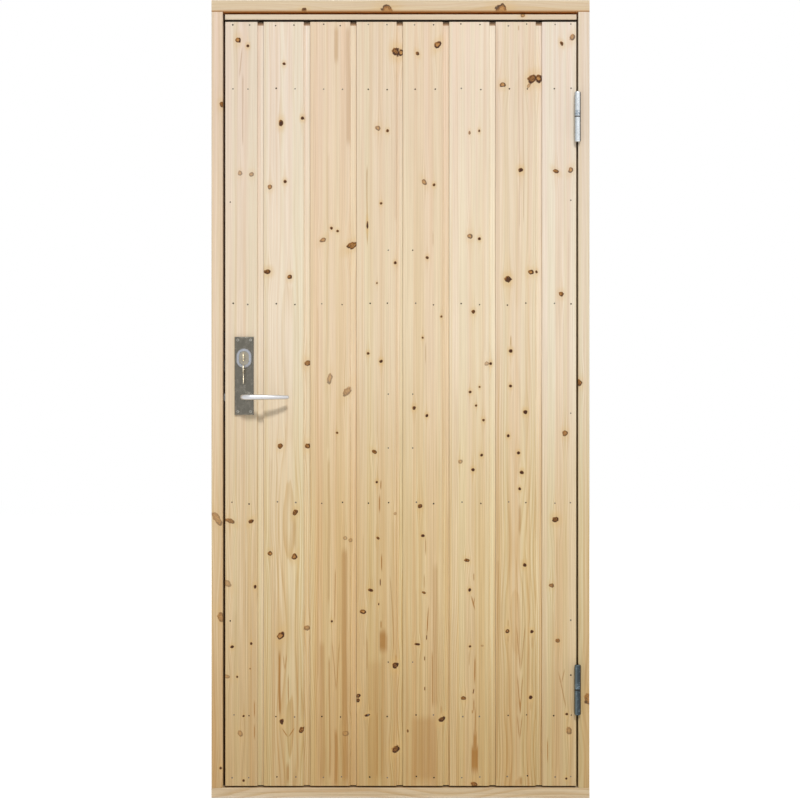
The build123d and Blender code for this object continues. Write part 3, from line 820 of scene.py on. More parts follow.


# %% [markdown]
# Now the boards. Each knot is given in millimetres: across from the door's centre line, up from
# the sill, then its radius, how tall it is for its width, and how dark. Two more numbers may follow: how
# far it leans, and how hollow it is, from zero for a solid dark knot to one for a disc in a ring of bark.
# Nothing gives a boarded door its own face more than its knots, so the list is long.

# %% Knots of the boards
board_knots = {
    "board_1": [
        (-425, 1985, 6.5, 1.2, 0.6, 0.0, 0.9), (-400, 1970, 4, 1.0, 0.9),
        (-420, 1637, 6, 1.0, 0.30, 0.0, 0.9), (-390, 1634, 6, 1.0, 0.35, 0.0, 0.9),
        (-447, 726, 11, 0.62, 0.50, -0.9, 0.1), (-391, 725, 6.5, 0.9, 0.70, 0.4, 0.3),
        (-455, 563, 10, 0.95, 0.30, -0.6, 0.1), (-381, 554, 4, 1.2, 0.80, 0.0, 0.0),
        (-441, 396, 5, 0.75, 0.90, 0.0, 0.0), (-391, 405, 3, 1.3, 0.70), (-394, 339, 2.5, 1.0, 0.40),
        (-456, 319, 8, 0.7, 0.35, -0.8, 0.1), (-428, 318, 2.5, 1.3, 0.75), (-411, 215, 3, 1.0, 0.85),
        (-419, 169, 7, 1.2, 0.28, -0.2, 0.7), (-411, 46, 3.5, 1.0, 0.75),
    ],
    "board_2": [
        (-305, 1923, 4, 1.0, 0.75), (-313, 1768, 6, 1.4, 0.85, 0.0, 0.0),
        (-257, 1781, 4.5, 1.0, 0.9, 0.0, 0.0), (-342, 1600, 6, 1.0, 0.5, 0.0, 0.5),
        (-303, 1615, 4.5, 1.0, 0.75), (-348, 1379, 9, 0.7, 0.85, 0.0, 0.5),
        (-290, 1365, 6, 1.0, 0.70, 0.0, 0.5), (-244, 1139, 8, 1.0, 0.55, 0.0, 0.3),
        (-315, 922, 6.5, 1.0, 0.60, 0.0, 0.3), (-243, 922, 7, 1.1, 0.60, 0.0, 0.4),
        (-276, 748, 6.5, 1.25, 0.72, 0.2, 0.4), (-278, 632, 7.5, 1.1, 0.72, 0.0, 0.6),
        (-342, 641, 6.5, 0.9, 0.60, 0.0, 0.5), (-245, 444, 9, 0.75, 0.40, 0.0, 0.2),
        (-314, 425, 8.5, 1.3, 0.65, 0.25, 0.85), (-311, 200, 5.5, 1.4, 0.85, 0.0, 0.2),
        (-259, 178, 6.5, 1.3, 0.62, 0.3, 0.4),
    ],
    "board_3": [
        (-181, 1493, 4, 1.0, 0.65), (-165, 1485, 3.5, 1.0, 0.65), (-203, 1462, 8, 0.8, 0.45, 0.5, 0.7),
        (-127, 1448, 13, 0.75, 0.65, 0.6, 0.5), (-185, 1099, 7, 1.9, 0.30, 0.1, 0.9),
        (-140, 1065, 9, 1.5, 0.35, 0.4, 0.5), (-166, 957, 3, 1.0, 0.65),
        (-145, 681, 6, 0.9, 0.16, 0.0, 1.0), (-131, 675, 5, 1.0, 0.25, 0.0, 0.7),
        (-180, 463, 3.2, 1.1, 0.75), (-144, 169, 9, 0.8, 0.14, 0.0, 1.0),
    ],
    "board_4": [
        (-12, 1956, 10, 1.1, 0.85, 0.0, 0.55), (1, 1955, 7, 1.3, 0.90, 0.0, 1.0),
        (-59, 1755, 7, 1.0, 0.40, 0.0, 0.9), (-34, 1748, 4, 1.0, 0.65), (-87, 1500, 2.6, 4.0, 0.95),
        (-51, 1558, 3.5, 1.0, 0.75), (-14, 1402, 4, 1.0, 0.75), (-62, 1349, 2.5, 1.0, 0.6),
        (-85, 1165, 4, 1.0, 0.75), (-51, 1144, 4.5, 1.0, 0.95), (-69, 907, 6.5, 0.8, 0.60, -0.4, 0.2),
        (-62, 828, 3.5, 1.0, 0.95), (-14, 745, 4, 1.0, 0.25), (-59, 681, 4, 0.9, 0.60, -0.3),
        (-78, 545, 6, 0.7, 0.72, -0.4, 0.1), (-98, 488, 8, 0.72, 0.60, 0.0, 0.85),
        (-57, 508, 1.8, 2.2, 0.95), (-111, 268, 6, 1.0, 0.95, 0.0, 0.7),
        (-112, 256, 6, 0.9, 0.95, 0.0, 0.6), (-87, 217, 6.5, 0.62, 0.95, 0.5, 0.0),
        (-13.5, 347, 8.5, 0.9, 0.98, 0.0, 0.55), (-13, 127, 11, 0.85, 0.85, 0.3, 0.5),
    ],
    "board_5": [
        (45, 1950, 5, 1.1, 0.68, -0.2, 0.1), (97, 1973, 8.3, 1.1, 0.70, 0.3, 1.0),
        (63, 1613, 6, 1.3, 0.45, -0.3, 0.8), (88, 1606, 4, 1.0, 0.75), (70, 1416, 4, 1.0, 0.75),
        (107, 1261, 3, 1.0, 0.65), (58, 1206, 3, 1.0, 0.65), (36, 1022, 5, 1.0, 0.80, 0.0, 0.2),
        (69, 1002, 4, 1.0, 0.95), (51, 765, 6, 1.0, 0.70, 0.0, 0.3), (58, 687, 4.5, 1.0, 0.85),
        (61, 538, 5.0, 0.7, 0.62, -0.5, 0.2), (44, 403, 7.5, 0.5, 0.75, -0.6, 0.0),
        (19, 176, 2.5, 1.8, 0.55), (109, 206, 8.5, 0.85, 0.98, 0.3, 0.5),
    ],
    "board_6": [
        (181, 1743, 2.8, 1.7, 0.45), (206, 1748, 2.9, 1.3, 0.75), (182, 1472, 7, 1.0, 0.45, 0.0, 1.0),
        (207, 1465, 4, 1.0, 0.75), (191, 1274, 5, 1.0, 0.70, 0.0, 0.2), (225, 1138, 6, 1.0, 0.25, 0.0, 0.7),
        (236, 1138, 4, 1.0, 0.95), (207, 1077, 3, 1.0, 0.65), (183, 1064, 4, 1.0, 0.75),
        (198, 1028, 3, 1.0, 0.65), (217, 990, 4, 1.0, 0.75), (212, 898, 4, 1.0, 0.75),
        (157, 881, 6, 1.0, 0.30, 0.0, 0.7), (190, 860, 4.5, 1.0, 0.90, 0.0, 0.0),
        (174, 623, 6.5, 0.7, 0.62, -0.3, 0.2), (181, 545, 4.2, 1.0, 0.95), (182, 397, 4.0, 0.8, 0.80),
        (214, 399, 4.0, 0.8, 0.22), (165, 262, 6.8, 0.72, 0.58, -0.2, 0.2),
        (193, 36, 9, 0.75, 0.62, 0.0, 0.4),
    ],
    "board_7": [
        (267, 1868, 8.5, 0.75, 0.55, 0.0, 0.95), (345, 1884, 11.5, 1.0, 0.80, 0.2, 0.5),
        (362, 1885.5, 8.8, 1.25, 0.75, 0.0, 0.75), (336, 1866, 4.5, 1.5, 0.30, 0.4, 0.0),
        (315, 1645, 6.2, 1.0, 0.88, 0.0, 0.0), (281, 1359, 9, 0.9, 0.90, 0.0, 0.3),
        (342, 1378, 8, 0.8, 0.60, 0.0, 0.9), (356, 1379, 4, 1.0, 0.75), (289, 1171, 5, 1.0, 0.95, 0.0, 0.0),
        (288, 1079, 4, 1.0, 0.85), (327, 1011, 5.5, 1.0, 0.95, 0.0, 0.0), (282, 949, 4, 1.0, 0.95),
        (309, 904, 4, 1.0, 0.95), (318, 853, 5, 1.0, 0.95, 0.0, 0.0), (312, 810, 4, 1.0, 0.95),
        (325, 611, 5.4, 1.0, 0.95, 0.0, 0.0), (280.5, 437, 5.5, 0.9, 0.88, 0.0, 0.75),
        (344, 435.5, 4.8, 1.0, 0.92, 0.0, 0.0), (341, 264, 4.8, 1.1, 0.92, 0.0, 0.0),
    ],
    "board_8": [
        (422, 1977, 5, 1.1, 0.70, -0.2, 0.0), (450, 1992, 7, 1.3, 0.45, 0.2, 0.7),
        (407, 1642, 7, 0.8, 0.58, -0.5, 0.3), (445.5, 1645, 6.2, 1.2, 0.48, 0.2, 0.95),
        (421, 1320, 6.5, 1.0, 0.60, 0.0, 0.5), (431, 955, 7.3, 1.0, 0.55, 0.0, 0.4),
        (406, 730, 9, 0.85, 0.80, 0.0, 0.4), (396, 557, 6.8, 0.75, 0.52, 0.0, 0.2),
        (412, 412, 5.8, 1.0, 0.52, 0.0, 0.2), (435, 220, 4.0, 1.0, 0.85),
        (441, 176, 7, 1.5, 0.35, 0.0, 0.6), (434, 51, 3.4, 1.0, 0.85),
    ],
}
print("knots placed by hand:", sum(len(knots) for knots in board_knots.values()))

# %% [markdown]
# A streak is placed in the same way: across, the heights of its lower and upper end, half its width, all
# in millimetres, and its strength. A sixth number is its lean, as a slope. Each board also has its own
# pith, because neighbours come from different trunks, and a tint of its own.

# %% Streaks of the boards
board_streaks = {
    "board_1": [
        (-431, 40, 500, 4, 0.12), (-405, 500, 1100, 3, 0.09), (-424, 1880, 1975, 2, 0.40, 0.10),
        (-414, 1700, 1905, 2.2, 0.34), (-382, 205, 262, 1.5, 0.85), (-382, 148, 198, 1.6, 0.85),
        (-406, 60, 640, 1.2, 0.25),
    ],
    "board_2": [
        (-277, 640, 742, 5, 0.34), (-316, 207, 395, 3.4, 0.88), (-302, 330, 380, 1.2, 0.55, -0.10),
        (-302, 330, 380, 1.2, 0.55, 0.10), (-293, 240, 332, 0.9, 0.80), (-258, 188, 300, 1.4, 0.40),
        (-294.5, 158, 186, 1.9, 0.88, -0.63), (-294.5, 158, 186, 1.9, 0.88, 0.63),
        (-296, 29, 100, 4.5, 0.60), (-338, 40, 900, 6, 0.12), (-268, 60, 600, 1.0, 0.30),
        (-330, 100, 560, 1.0, 0.25),
    ],
    "board_3": [
        (-170, 20, 190, 5, 0.65), (-171, 450, 610, 1.8, 0.60), (-188, 500, 900, 4, 0.30),
        (-205, 30, 420, 8, 0.40), (-186, 40, 380, 3, 0.52), (-146, 30, 665, 9, 0.50),
        (-168, 274, 420, 1.4, 0.50, -0.07), (-168, 274, 420, 1.4, 0.50, 0.07), (-190, 900, 1700, 4, 0.12),
        (-167, 1915, 2033, 7, 0.34), (-137, 1700, 2033, 7, 0.32), (-216, 300, 1300, 2, 0.20),
    ],
    "board_4": [
        (-87, 1440, 1665, 1.4, 0.70), (-48, 372, 452, 10, 0.80), (-52, 440, 468, 3, 0.60),
        (-40, 372, 440, 6, 0.45), (-66, 32, 372, 26, 0.20), (-88, 320, 430, 0.8, 0.60),
        (-54, 742, 800, 2.4, 0.80), (-51, 805, 836, 0.9, 0.95), (-49, 588, 645, 2.0, 0.90),
        (-53, 553, 577, 1.3, 1.60), (-62, 40, 240, 2.2, 0.50), (-50, 40, 250, 1.8, 0.45),
        (-18, 374, 590, 1.2, 0.45, -0.045), (-13, 356, 378, 2.2, 0.70), (-12, 1500, 1920, 5, 0.14),
        (-96, 380, 700, 2, 0.20),
    ],
    "board_5": [
        (62, 541, 592, 0.9, 0.60), (68, 414, 510, 1.6, 0.95, 0.055), (68, 412, 430, 1.3, 1.60, 0.055),
        (63.5, 358, 373, 1.2, 1.40), (63.5, 280, 293, 1.2, 1.50), (91, 228, 623, 8, 0.28),
        (84, 228, 395, 0.9, 0.75), (62, 32, 226, 38, 0.36), (107, 216, 245, 2.0, 0.55),
        (66, 630, 690, 1.8, 0.60), (66, 1130, 1200, 1.5, 0.35), (84, 1440, 1490, 1.5, 0.30),
        (40, 100, 560, 1.0, 0.25),
    ],
    "board_6": [
        (191, 566, 592, 1.1, 0.80), (195, 489, 534, 2.0, 0.90, -0.26), (190, 500, 528, 1.0, 0.60, 0.12),
        (194.5, 290, 380, 1.8, 0.95), (190, 271, 288, 1.4, 1.70, 0.15), (192, 220, 264, 0.9, 0.90),
        (188, 220, 232, 1.0, 0.90), (196, 150, 246, 2.0, 0.65), (196, 96, 186, 5.5, 0.80),
        (196, 56, 150, 11, 0.90), (180, 340, 394, 1.8, 0.40), (206, 200, 900, 2, 0.14),
    ],
    "board_7": [
        (314, 325, 460, 1.3, 0.60, -0.09), (314, 325, 460, 1.3, 0.60, 0.09),
        (314, 335, 640, 1.0, 0.35, 0.03), (313, 330, 640, 1.0, 0.35, -0.03),
        (313.5, 218, 330, 1.5, 0.75, -0.07), (313.5, 218, 330, 1.4, 0.70, 0.06),
        (313.5, 216, 262, 1.8, 0.85), (312.5, 147, 226, 1.3, 0.65, -0.09),
        (312.5, 147, 226, 1.3, 0.65, 0.09), (316, 30, 60, 4, 0.60), (280.5, 445, 470, 1.0, 0.50),
        (280.5, 405, 430, 1.0, 0.50), (344, 385, 432, 2.6, 0.40), (341, 225, 262, 2.2, 0.40),
        (254, 30, 2033, 4.5, 0.16), (254, 30, 640, 4.5, 0.34), (313, 680, 780, 4, 0.42),
        (289, 1178, 1215, 2.0, 0.55), (322, 1500, 1980, 1.2, 0.30), (311, 1480, 1960, 1.0, 0.28),
        (311, 2008, 2026, 2.2, 0.45),
    ],
    "board_8": [
        (435, 226, 340, 1.4, 0.65, -0.21), (420, 297, 342, 1.3, 0.60, 0.22), (385, 84, 164, 0.9, 0.80),
        (398, 60, 500, 1.2, 0.25), (410, 60, 700, 3, 0.12), (440, 900, 1500, 3, 0.10),
    ],
}
print("streaks placed by hand:", sum(len(streaks) for streaks in board_streaks.values()))

# %% Grain and tints of the boards
board_grain = {
    "board_1": dict(pith=(-0.530, 0.010), lean=0.004, wander=0.020, ring=2.6, seed=1.3, contrast=0.45),
    "board_2": dict(pith=(-0.292, 0.045), lean=-0.006, wander=0.030, ring=2.8, seed=8.1, contrast=0.50),
    "board_3": dict(pith=(-0.260, 0.015), lean=0.005, wander=0.020, ring=2.4, seed=15.7, contrast=0.60),
    "board_4": dict(pith=(0.020, 0.010), lean=0.006, wander=0.020, ring=2.6, seed=22.4, contrast=0.55),
    "board_5": dict(pith=(0.150, 0.020), lean=-0.004, wander=0.020, ring=2.8, seed=31.9, contrast=0.50),
    "board_6": dict(pith=(0.120, 0.010), lean=0.005, wander=0.020, ring=2.5, seed=40.2, contrast=0.50),
    "board_7": dict(pith=(0.306, 0.050), lean=0.004, wander=0.025, ring=2.8, seed=52.6, contrast=0.55),
    "board_8": dict(pith=(0.500, 0.020), lean=-0.005, wander=0.020, ring=2.9, seed=63.8, contrast=0.50),
}
board_tints = {
    "board_1": (0.978, 0.980, 0.997),
    "board_2": (1.015, 1.036, 1.057),
    "board_3": (0.994, 0.946, 0.884),
    "board_4": (0.973, 0.955, 0.890),
    "board_5": (0.991, 0.956, 0.900),
    "board_6": (1.026, 1.023, 1.014),
    "board_7": (0.989, 0.971, 0.938),
    "board_8": (1.013, 1.048, 1.109),
}
for name in board_names:
    channel_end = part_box(name)[1][0] - lip_under
    edges = None if name == board_names[-1] else (channel_end - channel, channel_end)
    dress(name, wood_material("pine_" + name, board_knots[name], board_streaks[name], tint=board_tints[name],
                              channel_edges=edges, **board_grain[name]))
print("boards dressed:", ", ".join(board_names))

# %% [markdown]
# The frame is pine too, from straighter stock. Its few knots end near the face that shows them, or they
# would run through its depth as bars. On a piece that lies flat the first two numbers of a knot change
# places.

# %% Frame and drip strip
frame_knots = {
    "head": [
        (2064, -36, 14, 1.05, 0.55, 0.0, 0.6), (2065, 264, 15, 1.05, 0.55, 0.0, 0.6),
        (2063, -252, 6, 1.0, 0.75, 0.0, 0.0),
    ],
    "drip_strip": [
        (2049, 320, 5, 1.0, 0.5, 0.0, 0.8),
    ],
    "lock_jamb": [
        (-467, 1816, 7, 1.0, 0.6, 0.0, 0.3), (-480, 732, 10, 2.0, 0.35, -0.5, 0.1),
        (-470, 473, 9, 1.5, 0.40, -0.3, 0.2), (-471, 79, 4, 1.0, 0.75),
    ],
    "hinge_jamb": [
        (468, 1088, 8, 1.0, 0.6, 0.0, 0.4), (494, 260, 14, 1.0, 0.50, 0.0, 0.6),
    ],
}
# The head's lower edge and the drip strip's underside get painted shade.
frame_grain = {
    "head": dict(pith=(2.05, 0.01), lean=0.004, ring=3.6, seed=71.0, along="X", height_tone_share=0.15, contrast=0.5,
                 painted_shade_heights=(head_bottom, head_bottom + 6.5 * mm)),
    "threshold": dict(pith=(0.04, 0.03), lean=0.01, ring=3.4, seed=77.0, along="X", height_tone_share=0.0,
                      contrast=0.6),
    "drip_strip": dict(pith=(2.10, 0.02), ring=3.0, seed=83.0, along="X", height_tone_share=0.5, contrast=0.5,
                       painted_shade_heights=(strip_bottom + 0.2 * mm, strip_bottom + 1.4 * mm),
                       painted_shade_colour=strip_shade),
    "lock_jamb": dict(pith=(-0.44, 0.02), lean=0.005, ring=3.5, seed=89.0, contrast=0.45),
    "hinge_jamb": dict(pith=(0.45, 0.03), lean=-0.005, ring=3.5, seed=95.0, contrast=0.45),
}
frame_tints = {
    "head": (0.825, 0.770, 0.705),
    "threshold": (0.88, 0.88, 0.88),
    "drip_strip": (0.885, 0.885, 0.875),
    "lock_jamb": (0.96, 0.92, 0.90),
    "hinge_jamb": (0.95, 0.97, 0.98),
}
for name, grain in frame_grain.items():
    dress(name, wood_material("pine_" + name, frame_knots.get(name, ()), tint=frame_tints[name],
                              shallow_knots=True, **grain))
print("frame dressed:", ", ".join(frame_grain))

# %% [markdown]
# What the photograph doesn't show, the rails and stiles behind the boards, gets a few knots at random,
# from a fixed seed so that every run gives the same door.

# %% Joinery behind the boards
joinery = ["top_rail", "upper_mid_rail", "lower_mid_rail", "bottom_rail", "lock_stile", "hinge_stile",
           "centre_stile"]
knot_every = 0.28
knot_radii = (4, 11)
knot_stretches = (0.8, 1.3)
knot_tones = (0.5, 0.98)
fewest_knots = 3
chance = random.Random(2105)
for name in joinery:
    low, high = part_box(name)
    lying = high[0] - low[0] > high[2] - low[2]
    across_axis, along_axis = (2, 0) if lying else (0, 2)
    run = high[along_axis] - low[along_axis]
    knot_count = max(fewest_knots, round(run / knot_every))
    knots = []
    for count in range(knot_count):
        across = chance.uniform(low[across_axis], high[across_axis]) / mm
        along = (low[along_axis] + run * (count + chance.random()) / knot_count) / mm
        shape = [chance.uniform(*limits) for limits in (knot_radii, knot_stretches, knot_tones)]
        knots.append((across, along, *shape))
    middle = (low[across_axis] + high[across_axis]) / 2
    material = wood_material(
        "pine_" + name,
        knots,
        pith=(middle + chance.uniform(-0.03, 0.03), 0.05 + chance.uniform(0, 0.03)),
        lean=chance.uniform(-0.01, 0.01),
        ring=3.2,
        seed=100.0 + 9.0 * len(name) + chance.random(),
        tint=(0.99, 0.98, 0.95),
        along="X" if lying else "Z",
        height_tone_share=0.3,
    )
    dress(name, material)
print("joinery dressed:", ", ".join(joinery))

# %% [markdown]
# ## Metal
# Zinc-plated steel is grey with a faint crystal pattern and dull patches. Polished furniture metal keeps
# long brushing lines instead. Both come from one material function, with a wear noise that changes the
# roughness more than the colour, since that is how a real surface tells its age.

# %% Metal materials
cloud_scale = 70.0
wear_range = (0.45, 0.75)
brush_scale = 8.0
brush_range = (0.2, 0.8)
dull_range = (0.3, 0.8)
dullest = 0.18
metal_relief_depth = 0.2 * mm


def metal_material(name, colour, shine, brushing=(60.0, 60.0, 60.0), patches=0.25, worn=None, relief=0.15):
    """Metal with patchy roughness. A worn colour shows through where the noise is high."""
    material, tree, shader, place = new_material(name)
    shader.inputs["Metallic"].default_value = 1.0
    cloud = noise(tree, place, cloud_scale, 4.0, 0.6)
    lines = noise(tree, stretched(tree, place, brushing), brush_scale, 3.0, 0.6)
    surface = blend(tree, ramp(tree, cloud, *wear_range), (*colour, 1), (*(worn or colour), 1))
    shade = ramp(tree, lines, *brush_range, 1.0 - patches / 2, 1.0 + patches / 2)
    put(tree, shader.inputs["Base Color"], multiplied(tree, surface, grey(tree, shade)))
    put(tree, shader.inputs["Roughness"], ramp(tree, cloud, *dull_range, shine, shine + dullest))
    add_relief(tree, shader, lines, relief, metal_relief_depth)
    return material


zinc = metal_material("zinc_plated_steel", (0.56, 0.58, 0.59), 0.26, patches=0.3, worn=(0.36, 0.38, 0.38))
plate_steel = metal_material("polished_plate", (0.155, 0.145, 0.120), 0.16, (40.0, 40.0, 4.0), 0.2,
                             worn=(0.20, 0.185, 0.155), relief=0.06)
guard_nickel = metal_material("brushed_nickel", (0.38, 0.40, 0.44), 0.26, patches=0.3)
cylinder_nickel = metal_material("cylinder_nickel", (0.36, 0.33, 0.27), 0.25, patches=0.3)
lever_metal = metal_material("satin_aluminium", (0.62, 0.62, 0.63), 0.32, patches=0.12, relief=0.08)
key_nickel = metal_material("key_nickel", (0.70, 0.62, 0.46), 0.22, patches=0.3, worn=(0.60, 0.48, 0.30))
nail_steel = metal_material("nail_steel", (0.045, 0.032, 0.022), 0.5, patches=0.4)
nail_zinc = metal_material("nail_zinc", (0.17, 0.15, 0.12), 0.4, patches=0.4)
screw_steel = metal_material("screw_steel", (0.36, 0.35, 0.31), 0.24, patches=0.3)
metal_pieces = (
    (zinc, ("strike_plate", "lock_case", "spindle", "latch_bolt", "deadbolt")),
    (plate_steel, ("outer_plate", "inner_plate")),
    (guard_nickel, ("cylinder_guard",)),
    (cylinder_nickel, ("cylinder_housing", "cylinder_plug")),
    (lever_metal, ("turn_knob", "outer_lever", "inner_lever")),
)
for material, names in metal_pieces:
    for name in names:
        dress(name, material)
    print(material.name, "on", ", ".join(names))

# %% [markdown]
# The upper hinge is bright, and the lower one nearly black. Both get painted shade and dark reflection along
# their sides, more of it towards the frame, and a painted shade line at the split where the leaf half rests
# on the frame half, with a smear above it. The left side of each knuckle is painted half-way to the
# smear's colour, a painted contrast with its highlight. The split's height and the hinge's axis come from
# the hinges.

# %% Hinge zinc
hinge_low, hinge_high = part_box("leaf_hinge_upper")
hinge_x = (hinge_low[0] + hinge_high[0]) / 2
upper_split = hinge_low[2]
lower_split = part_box("leaf_hinge_lower")[0][2]
# Painted shade and dark reflection along the knuckle's sides, more towards the frame.
edge_shade_centre = hinge_x - 1.8 * mm
edge_shade_reach = (4.6 * mm, 8.6 * mm)
edge_shade_most = 0.92
# Painted shade in the split between the hinge halves.
split_shade_reach = (1.2 * mm, 2.2 * mm)
smear_start = (1 * mm, 4 * mm)
smear_end = (10 * mm, 20 * mm)
# Painted contrast: the knuckle's left side is painted half-way to the smear's colour.
painted_contrast_side = (hinge_x - 6.5 * mm, hinge_x + 0.5 * mm)
speckle_scale = 260.0
blotch_scale = 130.0
blotch_range = (0.52, 0.64)


def hinge_material(name, colour, smear, edge_shade_colour, split_z, shine, blotchy):
    """Zinc on a knuckle: painted shade and dark reflection on its sides, a smear and painted shade at the
    split.
    """
    material = metal_material(name, colour, shine, patches=0.3, relief=0.1)
    tree = material.node_tree
    shader = tree.nodes["Principled BSDF"]
    plain = shader.inputs["Base Color"].links[0].from_socket
    place = tree.nodes.new("ShaderNodeTexCoord").outputs["Object"]
    x, _, z = separate(tree, place)
    speckle = noise(tree, place, speckle_scale, 3.0, 0.6)
    above_split = minus(tree, z, split_z)
    # painted shade line in the split
    split_shade = fading(tree, maths(tree, "ABSOLUTE", above_split), *split_shade_reach, 0.95)
    smeared = times(tree, ramp(tree, above_split, *smear_start), fading(tree, above_split, *smear_end))
    smeared = times(tree, smeared, ramp(tree, speckle, 0.40, 0.60, 0.1, 0.9))
    # painted shade and dark reflection along the sides
    from_centre = apart(tree, x, edge_shade_centre)
    edge_shade = plus(tree, ramp(tree, from_centre, *edge_shade_reach), times(tree, speckle, 0.2))
    edge_shade = ramp(tree, edge_shade, 0.35, 1.0, 0.0, edge_shade_most)
    blotch = ramp(tree, noise(tree, place, blotch_scale, 3.0, 0.7), *blotch_range, 0.0, blotchy)
    surface = blend(tree, blotch, plain, (*smear, 1))
    surface = blend(tree, smeared, surface, (*smear, 1))
    # painted contrast on the left side
    surface = blend(tree, fading(tree, x, *painted_contrast_side, 0.5), surface, (*smear, 1))
    surface = blend(tree, maths(tree, "MAXIMUM", edge_shade, split_shade), surface, (*edge_shade_colour, 1))
    put(tree, shader.inputs["Base Color"], surface)
    return material


bright_hinge = hinge_material("bright_hinge_zinc", colour=(0.74, 0.78, 0.80), smear=(0.22, 0.28, 0.34),
                              edge_shade_colour=(0.07, 0.065, 0.06), split_z=upper_split, shine=0.18, blotchy=0.12)
dark_hinge = hinge_material("dark_hinge_zinc", colour=(0.050, 0.064, 0.070), smear=(0.20, 0.26, 0.29),
                           edge_shade_colour=(0.02, 0.018, 0.015), split_z=lower_split, shine=0.3, blotchy=0.5)
for half in ("leaf", "frame"):
    dress(half + "_hinge_upper", bright_hinge)
    dress(half + "_hinge_lower", dark_hinge)
print("hinges split at", round(upper_split, 3), "and", round(lower_split, 3))

# %% [markdown]
# Three rubber seals lie in the frame, behind the leaf's edge. Rubber is nearly black and dull, and a fine
# dust on it is a noise between two darks.

# %% Rubber
clean_rubber = (0.022, 0.016, 0.013, 1)
dusty_rubber = (0.060, 0.046, 0.038, 1)
seals = ("seal_head", "seal_lock_side", "seal_hinge_side")
rubber, rubber_tree, rubber_shader, rubber_place = new_material("seal_rubber")
dust = noise(rubber_tree, rubber_place, 90.0, 4.0, 0.6)
put(rubber_tree, rubber_shader.inputs["Base Color"], blend(rubber_tree, dust, clean_rubber, dusty_rubber))
put(rubber_tree, rubber_shader.inputs["Roughness"], ramp(rubber_tree, dust, 0.2, 0.8, 0.55, 0.8))
for name in seals:
    dress(name, rubber)
print("rubber on", ", ".join(seals))

# %% [markdown]
# ## Nails
# Two nails hold each board to each rail. There are over a hundred, all alike, so Geometry Nodes place
# them: a mesh of single points goes in, one per nail, and a small head stands on each. The heads differ a
# little in size, from a fixed seed. The result is made a plain mesh, because an exported model can't
# carry the node tree.

# %% Geometry Nodes: helpers
def geometry_tree(name, sizes):
    """A tree with a mesh in, a mesh out and a named input for each size."""
    tree = bpy.data.node_groups.new(name, "GeometryNodeTree")
    interface = tree.interface
    interface.new_socket(name="Geometry", in_out="INPUT", socket_type="NodeSocketGeometry")
    for label, value in sizes:
        socket = interface.new_socket(name=label, in_out="INPUT", socket_type=number)
        socket.default_value = value
    interface.new_socket(name="Geometry", in_out="OUTPUT", socket_type="NodeSocketGeometry")
    return tree, tree.nodes.new("NodeGroupInput").outputs, tree.nodes.new("NodeGroupOutput").inputs


def stand_on_points(tree, points, shape, facing):
    """A copy of a shape on every point, with its Z axis turned to face a side."""
    stand = tree.nodes.new("GeometryNodeInstanceOnPoints")
    put(tree, stand.inputs["Points"], points)
    put(tree, stand.inputs["Instance"], shape)
    stand.inputs["Rotation"].default_value = facing
    return stand


def by_chance(tree, lowest, highest, seed):
    """A number for each point, from a fixed seed."""
    node = tree.nodes.new("FunctionNodeRandomValue")
    node.data_type = "FLOAT"
    low, high = [socket for socket in node.inputs if socket.enabled and socket.name in ("Min", "Max")]
    low.default_value = lowest
    high.default_value = highest
    node.inputs["Seed"].default_value = seed
    return next(socket for socket in node.outputs if socket.enabled)


def make_real(tree, instances, material, out):
    """Ends a tree: copies become real mesh, with a material."""
    real = tree.nodes.new("GeometryNodeRealizeInstances")
    put(tree, real.inputs["Geometry"], instances)
    coat = tree.nodes.new("GeometryNodeSetMaterial")
    coat.inputs["Material"].default_value = material
    put(tree, coat.inputs["Geometry"], real.outputs["Geometry"])
    put(tree, out, coat.outputs["Geometry"])


def plain_mesh(thing):
    """The finished mesh of an object, with its modifiers or its bevel worked in."""
    graph = bpy.context.evaluated_depsgraph_get()
    return bpy.data.meshes.new_from_object(thing.evaluated_get(graph), depsgraph=graph)


def grow(name, points, tree, sizes):
    """Runs a tree on a mesh of single points and keeps the result as a plain mesh object."""
    mesh = bpy.data.meshes.new(name)
    mesh.from_pydata([tuple(point) for point in points], [], [])
    piece = new_object(name, mesh)
    modifier = piece.modifiers.new("heads", "NODES")
    modifier.node_group = tree
    for item in tree.interface.items_tree:
        if item.item_type == "SOCKET" and item.in_out == "INPUT" and item.name in sizes:
            modifier[item.identifier] = sizes[item.name]
    solid = plain_mesh(piece)
    piece.modifiers.clear()
    piece.data = solid
    solid.name = name
    print(name, len(points), "heads,", len(solid.polygons), "faces")
    return piece


# %% Geometry Nodes: nail heads
nail_sides = 12
nail_sizes = (0.85, 1.15)
quarter = math.radians(90)


def head_tree(name, material, seed):
    """A tree that puts a flat round head on every point of the mesh that it is given."""
    tree, given, out = geometry_tree(name, (("Radius", 2 * mm), ("Thickness", 0.8 * mm)))
    head = tree.nodes.new("GeometryNodeMeshCylinder")
    head.fill_type = "NGON"
    head.inputs["Vertices"].default_value = nail_sides
    put(tree, head.inputs["Radius"], given["Radius"])
    put(tree, head.inputs["Depth"], given["Thickness"])
    stand = stand_on_points(tree, given["Geometry"], head.outputs["Mesh"], (quarter, 0, 0))
    put(tree, stand.inputs["Scale"], by_chance(tree, *nail_sizes, seed))
    make_real(tree, stand.outputs["Instances"], material, out["Geometry"])
    return tree


